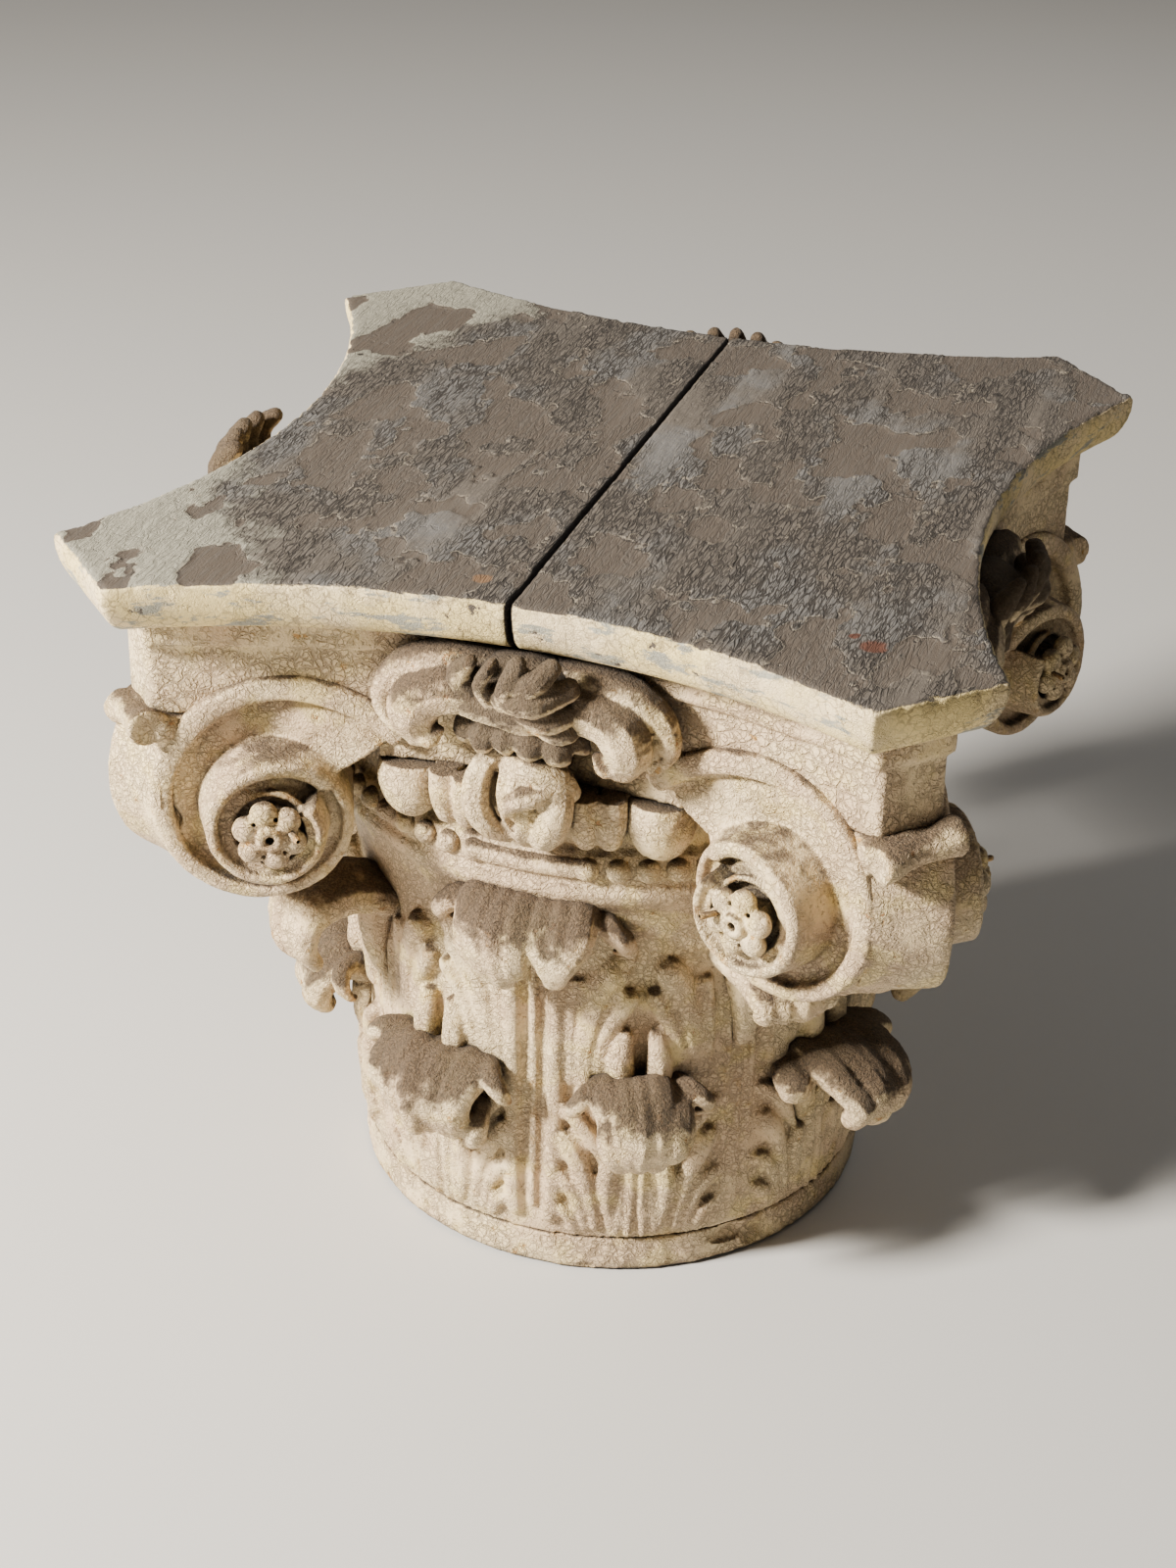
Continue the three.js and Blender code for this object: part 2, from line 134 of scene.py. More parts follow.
bpy.ops.mesh.primitive_plane_add(size=FLOOR_SIZE, location=(0, 0, FLOOR_HEIGHT))
floor = bpy.context.object
floor.name = "studio_floor"
floor.data.materials.append(plain_material("pale_floor", FLOOR_COLOR, 0.7))


# %% Lamps
def soft_lamp(name, place, aim, size, power, color):
    bpy.ops.object.light_add(type="AREA", location=place)
    lamp = bpy.context.object
    lamp.name = name
    lamp.data.shape = "RECTANGLE"
    lamp.data.size, lamp.data.size_y = size
    lamp.data.energy = power
    lamp.data.color = color
    lamp.rotation_euler = (Vector(aim) - Vector(place)).to_track_quat("-Z", "Y").to_euler()
    return lamp


soft_lamp("key_lamp", (-2.3, -2.0, 2.1), (0, 0, 0.3), (0.6, 0.6), 580, (1.0, 0.94, 0.85))
soft_lamp("fill_lamp", (2.6, -2.2, 1.6), (0, 0, 0.25), (2.4, 2.4), 3, (1.0, 0.97, 0.93))
soft_lamp("back_lamp", (0.8, 2.6, 2.4), (0, 0, 0.3), (2.0, 2.0), 20, (1.0, 0.98, 0.95))
world = bpy.data.worlds.new("studio")
world.use_nodes = True
background = world.node_tree.nodes["Background"]
background.inputs["Color"].default_value = (*WORLD_COLOR, 1)
background.inputs["Strength"].default_value = WORLD_STRENGTH
bpy.context.scene.world = world

# %% [markdown]
# ## Bench tools
#
# A few helpers that every carved piece uses. `rod` lays a round rod of changing thickness along a line,
# as a carver leaves a ridge standing. Rods that overlap are then welded into one skin by a voxel
# remesh, smoothed as a gouge and many coats of paint would, and thinned to a triangle budget. One
# table says how finely each model is skinned.


# %% Selection helpers
def pick(*objects):
    bpy.ops.object.select_all(action="DESELECT")
    for thing in objects:
        thing.select_set(True)
    bpy.context.view_layer.objects.active = objects[0]


def apply_modifier(thing, kind, **settings):
    modifier = thing.modifiers.new(kind.lower(), kind)
    for name, value in settings.items():
        setattr(modifier, name, value)
    pick(thing)
    bpy.ops.object.modifier_apply(modifier=modifier.name)
    return thing


def settle(thing, name=None):
    pick(thing)
    bpy.ops.object.transform_apply(location=True, rotation=True, scale=True)
    if name:
        thing.name = thing.data.name = name
    return thing


def edit_mesh(thing, operator, **settings):
    """Runs one mesh operator on everything in a thing."""
    pick(thing)
    bpy.ops.object.mode_set(mode="EDIT")
    bpy.ops.mesh.select_all(action="SELECT")
    operator(**settings)
    bpy.ops.object.mode_set(mode="OBJECT")
    return thing


def bring_in(name, mesh):
    """A mesh built from given points, as an object in the scene."""
    thing = bpy.data.objects.new(name, mesh)
    bpy.context.scene.collection.objects.link(thing)
    return thing


def discard(*things):
    for thing in things:
        bpy.data.objects.remove(thing)


def triangles(thing):
    return len(thing.data.loops) - 2 * len(thing.data.polygons)


# %% Places on the drum
def on_drum(angle, radius, height):
    """A place by its angle from the middle of the front towards the right, radius and height in mm."""
    turn = math.radians(angle - 90)
    return Vector((radius * math.cos(turn), radius * math.sin(turn), height)) * MM


def at(x, out, height):
    """A place in the middle of the front: along the face, out from the axis, and height in mm."""
    return Vector((x, -out, height)) * MM


# %% Rods
RING_SIDES = 12
THINNEST = 0.3  # in mm
# How far each ring of a round end steps out, and how thick it is, as shares of the end's thickness
ROUND_END = ((0.5, 0.87), (0.37, 0.5))


def smooth_line(places, sizes, steps):
    """The places and sizes filled in along a Catmull-Rom line through them."""
    padded = [places[0]] + list(places) + [places[-1]]
    widths = [sizes[0]] + list(sizes) + [sizes[-1]]
    line, width = [], []
    for i in range(1, len(padded) - 2):
        for k in range(steps):
            t = k / steps
            weights = (
                0.5 * (-(t ** 3) + 2 * t ** 2 - t),
                0.5 * (3 * t ** 3 - 5 * t ** 2 + 2),
                0.5 * (-3 * t ** 3 + 4 * t ** 2 + t),
                0.5 * (t ** 3 - t ** 2),
            )
            line.append(sum((w * Vector(p) for w, p in zip(weights, padded[i - 1:i + 3])), Vector()))
            width.append(sum(w * s for w, s in zip(weights, widths[i - 1:i + 3])))
    return line + [Vector(places[-1])], width + [sizes[-1]]


def rod(places, sizes, steps=4):
    """A rod with round ends through places in metres; sizes are its half thickness in mm."""
    line, width = smooth_line(places, sizes, steps)
    first = (line[0] - line[1]).normalized()
    last = (line[-1] - line[-2]).normalized()
    for step, share in ROUND_END:
        line = [line[0] + first * width[0] * (step * MM)] + line
        width = [sizes[0] * share] + width
        line.append(line[-1] + last * sizes[-1] * (step * MM))
        width.append(sizes[-1] * share)
    bpy.ops.curve.primitive_nurbs_path_add()
    thing = bpy.context.object
    path = thing.data
    path.splines.clear()
    spline = path.splines.new("POLY")
    spline.points.add(len(line) - 1)
    for point, place, size in zip(spline.points, line, width):
        point.co = (*place, 1)
        point.radius = max(size, THINNEST)
    path.bevel_depth = MM
    path.bevel_resolution = (RING_SIDES - 4) // 4
    path.use_fill_caps = True
    pick(thing)
    bpy.ops.object.convert(target="MESH")
    return bpy.context.object


def face_rods(table):
    """Rods from rows of places in the middle of the front and sizes, all in mm."""
    return [rod([at(*place) for place in places], sizes) for places, sizes in table]


# %% Ball and weld
def ball(place, sizes, turn=0.0):
    """A ball at a place in metres, with half sizes in mm, turned about the upright axis in degrees."""
    bpy.ops.mesh.primitive_uv_sphere_add(segments=20, ring_count=12, radius=MM, location=place,
                                         scale=sizes, rotation=(0, 0, math.radians(turn)))
    return settle(bpy.context.object)


# Size of the voxels in mm, triangle budget, and rounds of smoothing. The boards are thinned after the
# relief is carved, so their budget here is out of reach.
SKINS = {
    "board_left_weathered": (2.3, 400000, 1),
    "board_right_weathered": (2.3, 400000, 1),
    "frieze_band": (2.6, 110000, 1),
    "bell_with_reeds": (1.9, 196000, 1),
    "bead_row": (1.7, 60000, 2),
    "coil": (1.45, 31000, 1),
    "rosette": (1.1, 9000, 2),
    "strap": (1.8, 16000, 2),
    "egg": (1.5, 6000, 1),
    "dart": (1.4, 5000, 1),
    "centre_leaf": (1.5, 14000, 1),
    "husk": (1.6, 11000, 1),
    "flower": (1.4, 24000, 1),
    "full_flower": (1.6, 20000, 1),
    "lower_leaf": (1.5, 17000, 6),
    "far_leaf": (1.5, 17000, 6),
    "wide_leaf": (1.5, 17000, 6),
    "upper_leaf": (1.5, 19000, 6),
    "corner_leaf": (1.6, 17000, 9),
    "short_leaf": (1.6, 17000, 9),
    "foot_board_worn": (2.2, 60000, 1),
}


def joined(parts, name):
    pick(*parts)
    if len(parts) > 1:
        bpy.ops.object.join()
    return settle(bpy.context.object, name)


def weld(parts, name):
    """The parts joined, skinned as one closed surface, softened and thinned, by the table of skins."""
    voxel, budget, soften = SKINS[name]
    thing = joined(parts, name)
    apply_modifier(thing, "REMESH", mode="VOXEL", voxel_size=voxel * MM, adaptivity=0.0)
    apply_modifier(thing, "SMOOTH", factor=0.5, iterations=soften)
    count = triangles(thing)
    if count > budget:
        apply_modifier(thing, "DECIMATE", ratio=budget / count)
    print(name, count, "->", triangles(thing), "triangles")
    return thing


def cut(thing, tools):
    """The tools cut out of the thing."""
    for tool in tools:
        apply_modifier(thing, "BOOLEAN", operation="DIFFERENCE", solver="FAST", object=tool)
        discard(tool)
    return thing


# %% Copies
def copy_of(thing, name, turn=0.0, mirrored=False, shift=(0, 0)):
    """A copy with its own mesh: mirrored left to right, shifted in mm, then turned about the axis."""
    twin = thing.copy()
    twin.data = thing.data.copy()
    twin.name = twin.data.name = name
    bpy.context.scene.collection.objects.link(twin)
    if mirrored:
        twin.data.transform(Matrix.Scale(-1, 4, (1, 0, 0)))
        twin.data.flip_normals()
    twin.data.transform(Matrix.Translation(Vector(shift).to_3d() * MM))
    twin.data.transform(Matrix.Rotation(math.radians(turn), 4, "Z"))
    return twin


finished = []


def finish_piece(thing, slot, *nodes):
    """Marks a carved piece as finished: it rides on the root, and stands for its CAD nodes."""
    pick(thing)
    bpy.ops.object.shade_smooth()
    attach(thing, "root")
    if nodes:
        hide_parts(*nodes)
    finished.append(thing)
    return thing


# %% [markdown]
# ## Old hand work
#
# Hand carving under thick paint is never true. Two displacements with procedural clouds do this: a
# broad one that lets the surface wander by about a millimetre, and a fine one for the lumps in the
# paint. The pattern is read at the place of each point, so no two copies wear alike.


# %% Wear
def cloud(name, size, depth=2):
    texture = bpy.data.textures.new(name, "CLOUDS")
    texture.noise_scale = size * MM
    texture.noise_depth = depth
    return texture


PATTERNS = (cloud("broad_wear", 26), cloud("fine_wear", 5.5, 3))
# How far the broad and the fine pattern move each kind of piece, in mm
WEAR = {
    "frieze": (1.2, 0.6), "bell": (1.3, 0.7), "beads": (0.8, 0.7), "volute": (1.2, 0.7),
    "strap": (2.6, 1.1), "band": (2.0, 0.8), "middle": (2.2, 1.0), "leaf": (3.2, 1.3), "foot": (1.4, 0.8),
}


def wear(thing, kind):
    """The thing's surface moved by both patterns, as far as its kind is worn."""
    for texture, strength in zip(PATTERNS, WEAR[kind]):
        apply_modifier(thing, "DISPLACE", texture=texture, texture_coords="GLOBAL",
                       strength=strength * MM, mid_level=0.5)
    return thing


def set_copy(model, name, kind, turn=0.0, mirrored=False, shift=(0, 0)):
    """A copy of a carved model in its place, worn and finished."""
    return finish_piece(wear(copy_of(model, name, turn, mirrored, shift), kind), "carving_paint")


# %% [markdown]
# ## The outline of the abacus
#
# The abacus has four hollow sides and four cut corners. Each side is one arc through two horn tips and
# the middle of the side, so the outline is worked out from the width, the horn tips and four depths.


# %% Abacus outline
def side_arc(depth, inset, chamfer):
    """Radius of a side's arc, how far its centre is from the axis, and half the angle that it spans."""
    sagitta = HALF_WIDTH - depth
    radius = (HORN_POINT ** 2 + sagitta ** 2) / (2 * sagitta) + inset
    centre = inset - depth - radius
    gap = chamfer + centre
    corner = (gap + math.sqrt(2 * radius ** 2 - gap ** 2)) / 2
    return radius, centre, math.asin(corner / radius)


def abacus_outline(inset, chamfer, steps):
    """Points of the outline in mm, four sides one after the other, from the front one."""
    points = []
    for side, depth in enumerate(SIDE_DEPTHS):
        here = inset[side] if isinstance(inset, tuple) else inset
        radius, centre, reach = side_arc(depth, here, chamfer)
        turn = side * math.pi / 2
        for i in range(steps + 1):
            angle = reach * (2 * i / steps - 1)
            x, y = radius * math.sin(angle), centre + radius * math.cos(angle)
            points.append((x * math.cos(turn) - y * math.sin(turn),
                           x * math.sin(turn) + y * math.cos(turn)))
    return points


def loft(rings, name):
    """A closed solid from rings of equally many places in metres, one after the other."""
    count = len(rings[0])
    places = [tuple(place) for ring in rings for place in ring]
    faces = [tuple(reversed(range(count))), tuple(range(len(places) - count, len(places)))]
    for level in range(len(rings) - 1):
        for i in range(count):
            here, after = level * count + i, level * count + (i + 1) % count
            faces.append((here, after, after + count, here + count))
    mesh = bpy.data.meshes.new(name)
    mesh.from_pydata(places, [], faces)
    return bring_in(name, mesh)


def stack(levels, name):
    """A closed solid from outlines of equal length at rising heights, all in mm."""
    return loft([[(x * MM, y * MM, z * MM) for x, y in outline] for outline, z in levels], name)


# %% [markdown]
# ## The two boards
#
# Each board is half of the outline, stacked up its rounded edge, then cut along the seam with bisect.
# The voxel remesh gives the flat top enough points for real relief: grain that runs along the seam,
# and the edges of lifted paint flakes.

# %% Boards
EDGE_LEVELS = 7
EDGE_STEPS = 24  # along each hollow side
ARRIS = 2.5
BOARD_BUDGET = 110000


def whole_abacus():
    levels = []
    for i in range(EDGE_LEVELS + 1):
        turn = i / EDGE_LEVELS * math.pi / 2
        inset = OVOLO * (1 - math.sin(turn))
        height = TOP - BOARD + (BOARD - 2 * ARRIS) * (1 - math.cos(turn))
        levels.append((inset, height))
    levels += [(0.3 * ARRIS, TOP - 0.7 * ARRIS), (ARRIS, TOP)]
    horns = HALF_WIDTH + HORN_POINT
    return stack([(abacus_outline(inset, horns - inset * math.sqrt(2), EDGE_STEPS), z)
                  for inset, z in levels], "abacus")


def half_abacus(name, side):
    board = edit_mesh(whole_abacus(), bpy.ops.mesh.bisect, plane_co=(side * SEAM / 2 * MM, 0, 0),
                      plane_no=(side, 0, 0), use_fill=True, clear_inner=True)
    return weld([board], name)


board_left = half_abacus("board_left_weathered", -1)
board_right = half_abacus("board_right_weathered", 1)

# %% [markdown]
# The relief of the top is read from noises. One says where the old paint has come off: there the wood
# lies lower and smooth, and the paint round it lifts in a curled lip. The paint that is left is split
# along the grain, which runs along the seam. The arris and the sides of the seam are nibbled.

# %% Relief of the boards
FLAKE = 1.0  # thickness of the old paint in mm
LIP = 0.9  # how far its edge curls up
SPLIT_DEPTH = 0.45
HEADROOM = 0.9  # how far the relief starts below the height of the solid
NIBBLE = 1.8  # how deep the edges are nibbled
SEAM_NIBBLE = 0.5  # the same in a strip along the seam
SEAM_STRIP = 8  # half its width


def paint_left(x, y):
    """Above zero where paint is left, and below zero where it has come off."""
    ragged = noise.fractal(Vector((x / 7, y / 11, 5.2)), 1.0, 2.1, 3)
    return noise.fractal(Vector((x / 42, y / 62, 3.1)), 1.0, 2.1, 3) + 0.20 * ragged + 0.13


def split_height(x, y):
    """How far the paint is split along the grain, from 0 to 1."""
    drift = noise.noise(Vector((x / 15, y / 40, 2.4)))
    cells = noise.voronoi(Vector((x / 6.5 + drift, y / 24 + drift, 1.3)))[0]
    return max(0.0, 1 - (cells[1] - cells[0]) * 6)


def top_height(x, y):
    """Height of the relief in mm, against the top of the solid."""
    left = paint_left(x, y)
    kept = min(1.0, max(0.0, left * 11 + 0.5))
    curled = max(0.0, 0.4 + noise.noise(Vector((x / 12, y / 12, 8.8))))
    lip = math.exp(-((left - 0.045) * 24) ** 2) * curled
    ripple = noise.fractal(Vector((x / 3.4, y / 26, 7.7)), 1.0, 2.0, 2)
    paint = kept * (FLAKE - SPLIT_DEPTH * split_height(x, y))
    return paint + LIP * lip + (0.1 + 0.18 * kept) * ripple - FLAKE - HEADROOM


def carve_board(board):
    mesh = board.data
    normals = [vertex.normal.copy() for vertex in mesh.vertices]
    for vertex, normal in zip(mesh.vertices, normals):
        x, y, z = (value / MM for value in vertex.co)
        nibble = noise.fractal(vertex.co / (9 * MM), 1.0, 2.0, 3)
        if z > TOP - 4 and normal.z > 0.3:
            vertex.co.z += top_height(x, y) * MM * min(1.0, normal.z)
        if z > TOP - 9 and normal.z < 0.9:
            worn = NIBBLE if abs(x) > SEAM_STRIP else SEAM_NIBBLE
            vertex.co -= normal * max(0.0, nibble) * worn * MM
        vertex.co.z = min(vertex.co.z, (TOP - 0.1) * MM)
    mesh.update()
    apply_modifier(board, "DECIMATE", ratio=BOARD_BUDGET / triangles(board))
    return board


for board, node in ((board_left, "abacus_board_left"), (board_right, "abacus_board_right")):
    finish_piece(carve_board(board), "board_paint", node)
print("boards", triangles(board_left), triangles(board_right))

# %% [markdown]
# The material has to know where the paint is left too, so the same noise is stored at every point of
# the top, as an attribute.

# %% Paint that is left, as an attribute
for board in (board_left, board_right):
    layer = board.data.attributes.new("paint_left", "FLOAT", "POINT")
    for vertex, value in zip(board.data.vertices, layer.data):
        value.value = 0.5 + 2 * paint_left(vertex.co.x / MM, vertex.co.y / MM)

# %% [markdown]
# ## The frieze
#
# Under the boards runs a thin fillet and a plain band with the same hollow sides, and behind the eggs a
# lower step of it. They are stacks, welded into one. Then the hollow of each volute is cut into it, so
# that the rim of the volute runs on over the frieze, and narrow cracks are cut with thin wedges.

# %% Frieze
FILLET = {"insets": (38, 21, 38, 21), "chamfer": 496, "bottom": 478}
FRIEZE = {"insets": (46, 25, 46, 25), "chamfer": 489, "bottom": 428}
LOW_STEP = {"insets": (51, 30, 51, 30), "half": 104, "bottom": 397, "back": 150}
FRIEZE_STEPS = 16  # along each hollow side


def low_step(side):
    """The step behind the eggs of one side: an arc in front, and a straight back."""
    radius, centre, _ = side_arc(SIDE_DEPTHS[side], LOW_STEP["insets"][side], FRIEZE["chamfer"])
    half, back = LOW_STEP["half"], LOW_STEP["back"]
    line = [(x, centre + math.sqrt(radius ** 2 - x ** 2)) for x in np.linspace(-half, half, 17)]
    line += [(half - 14, -back), (14 - half, -back)]
    step = stack([(line, LOW_STEP["bottom"]), (line, FRIEZE["bottom"] + 6)], "low_step")
    step.data.transform(Matrix.Rotation(side * math.pi / 2, 4, "Z"))
    return step


def frieze():
    top = TOP - BOARD - JOINT_GAP
    upper = abacus_outline(FILLET["insets"], FILLET["chamfer"], FRIEZE_STEPS)
    bevel = tuple(inset + 3 for inset in FILLET["insets"])
    inner = abacus_outline(bevel, FILLET["chamfer"] - 4, FRIEZE_STEPS)
    lower = abacus_outline(FRIEZE["insets"], FRIEZE["chamfer"], FRIEZE_STEPS)
    parts = [
        stack([(inner, FILLET["bottom"]), (upper, FILLET["bottom"] + 3), (upper, top)], "fillet"),
        stack([(lower, FRIEZE["bottom"]), (lower, top - 5)], "band"),
    ]
    return weld(parts + [low_step(side) for side in range(FACES)], "frieze_band")


# %% [markdown]
# ### Shape of the volutes
#
# The coil has to be known here, because the frieze is hollowed out for it. Its radius shrinks by an
# exponential law as it winds, and its crest rises towards the eye, like a snail shell. At its start it
# rises too, to pass over the frieze.

# %% Shape of the coil
VOLUTE = {
    "across": 174.4,
    "forward": 221.4,
    "height": 354.4,
    "turned": math.radians(22.8),
    "inner": 30,
    "growth": 66.5,
    "decay": 262,
    "shift": (-3, 4),
    "first": -56,
    "back": 42,
    "eye": 20,
    "eye_height": 22,
}
STATIONS_PER_TURN = 72
RIM = 17
CHANNEL = 9
WALL = 5


def coil_radius(angle):
    return VOLUTE["inner"] + VOLUTE["growth"] * math.exp(-angle / VOLUTE["decay"])


def crest_height(angle):
    """Height of the rim over the volute's plane: a slow rise, a step up to the eye, and the start."""
    t = min(max((angle - 250) / 150, 0), 1)
    return 9 + 12 * max(angle, 0) / 360 + 14 * t * t * (3 - 2 * t) + 0.27 * max(-angle, 0)


def on_volute(angle, radius, height):
    """A place on the right front volute: angle from its top towards the corner, radius and height."""
    across = radius * math.sin(math.radians(angle)) + VOLUTE["shift"][0]
    up = radius * math.cos(math.radians(angle)) + VOLUTE["shift"][1]
    turn = VOLUTE["turned"]
    return Vector((
        VOLUTE["across"] + across * math.cos(turn) - height * math.sin(turn),
        -VOLUTE["forward"] - across * math.sin(turn) - height * math.cos(turn),
        VOLUTE["height"] + up,
    )) * MM


# %% Hollows and cracks in the frieze
HOLLOW_INNER = 48
HOLLOW_FRONT = 60
# Cracks: x, y and height of the middle, half length and width, in mm
CRACKS = ((-118, -206, 490, 13, 2.4), (-97, -205, 496, 6, 1.6), (-124, -203, 462, 30, 1.2))


def hollow_tool():
    """A ring sector that fills the channel of the right front volute and the air before it."""
    rings = []
    for angle in range(-60, 64, 4):
        outer, deep = coil_radius(angle) - RIM - 0.5, crest_height(angle) - CHANNEL - 3
        rings.append([on_volute(angle, radius, height) for radius, height in (
            (HOLLOW_INNER, deep), (outer, deep), (outer, HOLLOW_FRONT), (HOLLOW_INNER, HOLLOW_FRONT))])
    return edit_mesh(loft(rings, "hollow_tool"), bpy.ops.mesh.normals_make_consistent, inside=False)


def crack_wedge(x, y, height, half, wide):
    bpy.ops.mesh.primitive_cube_add(size=1, location=(x * MM, y * MM, height * MM),
                                    scale=(wide * MM, 14 * MM, 2 * half * MM), rotation=(0, 0.04, 0.1))
    return settle(bpy.context.object)


band = frieze()
hollow = hollow_tool()
hollows = [copy_of(hollow, "hollow", 90 * k, mirrored, (0, -PUSHES[k]))
           for k in range(FACES) for mirrored in (False, True)]
discard(hollow)
cut(band, hollows + [crack_wedge(*crack) for crack in CRACKS])
wear(band, "frieze")
finish_piece(band, "carving_paint", "capital_body")
print("the frieze has", triangles(band), "triangles")

# %% [markdown]
# ## The bell
#
# The bell is turned: half its profile is drawn once and spun round the axis. It carries low relief, so
# the spun solid is joined with rods that lie half sunk in it: reeds in the middle of each face, and on
# every leaf a fan of ribs and side lobes. The ornament is the same on each quarter.

# %% Turned bell
# Radius and height in mm, from the axis below to the axis above
BELL_PROFILE = (
    (0, FOOT_BOARD + JOINT_GAP), (FOOT_RADIUS - 1, FOOT_BOARD + JOINT_GAP),
    (185, 60), (183, 120), (183, 190), (185, 240), (190, 280), (197, 306),
    (202, 314), (204, 320), (202, 325), (199, 327), (201, 330), (198, 346), (192, 352),
    (191, 392), (178, 440), (0, 440),
)
DRUM_RADII, DRUM_HEIGHTS = zip(*BELL_PROFILE[1:9])  # the part with relief
SPIN_STEPS = 144
SAME_PLACE = 0.01 * MM  # points closer than this are one


def turned(profile, name):
    mesh = bpy.data.meshes.new(name)
    places = [(radius * MM, 0, z * MM) for radius, z in profile]
    mesh.from_pydata(places, [(i, i + 1) for i in range(len(places) - 1)], [])
    thing = bring_in(name, mesh)
    edit_mesh(thing, bpy.ops.mesh.spin, steps=SPIN_STEPS, angle=2 * math.pi, center=(0, 0, 0),
              axis=(0, 0, 1))
    edit_mesh(thing, bpy.ops.mesh.remove_doubles, threshold=SAME_PLACE)
    return edit_mesh(thing, bpy.ops.mesh.normals_make_consistent, inside=False)


# %% Relief on the bell
def drum_rod(stations):
    """A rod along (angle, height, half width, rise) stations, sunk so that it rises by that much."""
    places, sizes = [], []
    for angle, height, half, rise in stations:
        size = (half ** 2 + rise ** 2) / (2 * rise)
        surface = np.interp(height, DRUM_HEIGHTS, DRUM_RADII)
        places.append(on_drum(angle, surface + rise - size, height))
        sizes.append(size)
    return rod(places, sizes)


LEAF_AT = 22.5  # middle of a leaf, between the middle of a face and a corner
# Rods of the right half of one leaf: angle from its middle, height, half width and rise
LEAF_RIBS = (
    ((1.4, 112, 3, 7), (1.3, 70, 2.6, 6.5), (1.6, 34, 3, 5)),
    ((3.6, 108, 2.4, 5), (3.4, 60, 2.2, 5), (4.2, 34, 2.4, 4)),
    ((6.0, 90, 6.5, 10), (6.4, 76, 6.5, 9), (6.0, 56, 4.5, 6), (5.2, 38, 3, 4)),
    ((15.5, 112, 8, 9), (13.8, 103, 9, 11), (11.4, 84, 7, 9), (9.6, 58, 5, 6), (8.6, 38, 3.5, 4)),
    ((16.6, 80, 6, 7), (14.6, 74, 6.5, 8), (12.4, 58, 5, 6), (11.0, 38, 3.5, 4)),
    ((16.8, 54, 5, 6), (14.8, 49, 5.5, 7), (13.2, 36, 4, 4)),
    ((16.5, 140, 5, 6), (13.2, 130, 6.5, 9), (9.4, 112, 6, 8), (7.2, 96, 4, 5)),
)
# The two big lobes over each lower leaf, and the husks between them
CALYX_RIBS = (
    ((11.6, 160, 9, 6), (11.2, 198, 11, 8), (9.0, 230, 12, 10), (5.4, 254, 10.5, 14)),
    ((8.8, 172, 6, 6), (7.2, 202, 7, 8), (4.2, 222, 6.5, 10), (2.6, 233, 5, 12)),
    ((14.6, 160, 3.4, 5), (14.6, 215, 4, 6), (13.4, 242, 4.5, 7.5)),
    ((3.7, 158, 8, 15), (4.1, 182, 8, 15), (3.3, 200, 4.5, 11)),
)
# Side lobes of the upper leaf, at the middle of a face
UPPER_RIBS = (
    ((10.2, 244, 3.2, 5), (10.4, 200, 2.6, 5), (10.0, 150, 2.4, 4), (9.2, 110, 2.2, 3)),
    ((19.5, 266, 7, 8), (16.0, 256, 7.5, 9), (12.6, 240, 5, 6)),
)
FACE_REEDS = (
    ((0, 260, 2.4, 4), (0, 150, 2.4, 4), (0, 52, 2.6, 4)),
    ((4.9, 260, 6.5, 7), (4.7, 150, 6.5, 7.5), (4.4, 60, 6.5, 7), (3.8, 44, 6, 6)),
)
CORNER_REEDS = (
    ((0, 250, 3, 3), (0, 120, 3, 3), (0, 50, 3, 2.4)),
    ((3.0, 250, 2.6, 2.4), (3.0, 120, 2.6, 2.4), (3.0, 56, 2.6, 2)),
)


def motif(rows, middle):
    """Rods from rows of stations about a middle angle, and their mirror images about it."""
    return [drum_rod([(middle + side * angle, *rest) for angle, *rest in stations])
            for stations in rows for side in (1, -1)]


# The ornament of a quarter, and the middle angle of each part
QUARTER = ((LEAF_RIBS, LEAF_AT), (CALYX_RIBS, LEAF_AT), (UPPER_RIBS, 0), (FACE_REEDS, 0), (CORNER_REEDS, 45),
           (LEAF_RIBS, -LEAF_AT), (CALYX_RIBS, -LEAF_AT))


def bell():
    quarter = joined([piece for rows, middle in QUARTER for piece in motif(rows, middle)], "relief")
    parts = [quarter] + [copy_of(quarter, f"relief_{k}", 90 * k) for k in range(1, FACES)]
    parts.append(turned(BELL_PROFILE, "turned_bell"))
    return weld(parts, "bell_with_reeds")


finish_piece(wear(bell(), "bell"), "carving_paint", "capital_body")

# %% [markdown]
# ## Beads
#
# Beads lie in the hollow over the fillets of the bell, spaced as sixty-four to the round. Under the leaf
# in the middle of a face they were never cut, and a plain roll was left. One ball is made, copied round,
# and joined.

# %% Bead row
BEADS_ROUND = 64
BEAD = {"radius": 200, "height": 338, "half": 8.2}
ROLL_HALF_ANGLE = 11


def bead_row():
    bead = ball(on_drum(0, BEAD["radius"], BEAD["height"]), (BEAD["half"],) * 3)
    beads = []
    for k in range(BEADS_ROUND):
        angle = k * 360 / BEADS_ROUND
        if abs((angle + 45) % 90 - 45) > ROLL_HALF_ANGLE:
            beads.append(copy_of(bead, "bead", angle))
    discard(bead)
    for face in range(FACES):
        angles = np.linspace(-ROLL_HALF_ANGLE, ROLL_HALF_ANGLE, 9)
        places = [on_drum(angle + 90 * face, BEAD["radius"] - 1, BEAD["height"]) for angle in angles]
        beads.append(rod(places, [7.2] * len(places), 2))
    return weld(beads, "bead_row")


finish_piece(wear(bead_row(), "beads"), "carving_paint")

# %% [markdown]
# ## Volutes
#
# A volute is one band that winds two turns towards its eye. Its section is drawn at every few degrees:
# the side, the rounded rim, a sharp groove, a nearly flat channel, and the foot of the next whorl's
# wall. Operators have no spiral loft, so this mesh is built point by point from the formula of the
# coil. The rosette in the eye is balls round a button with a drilled hole.


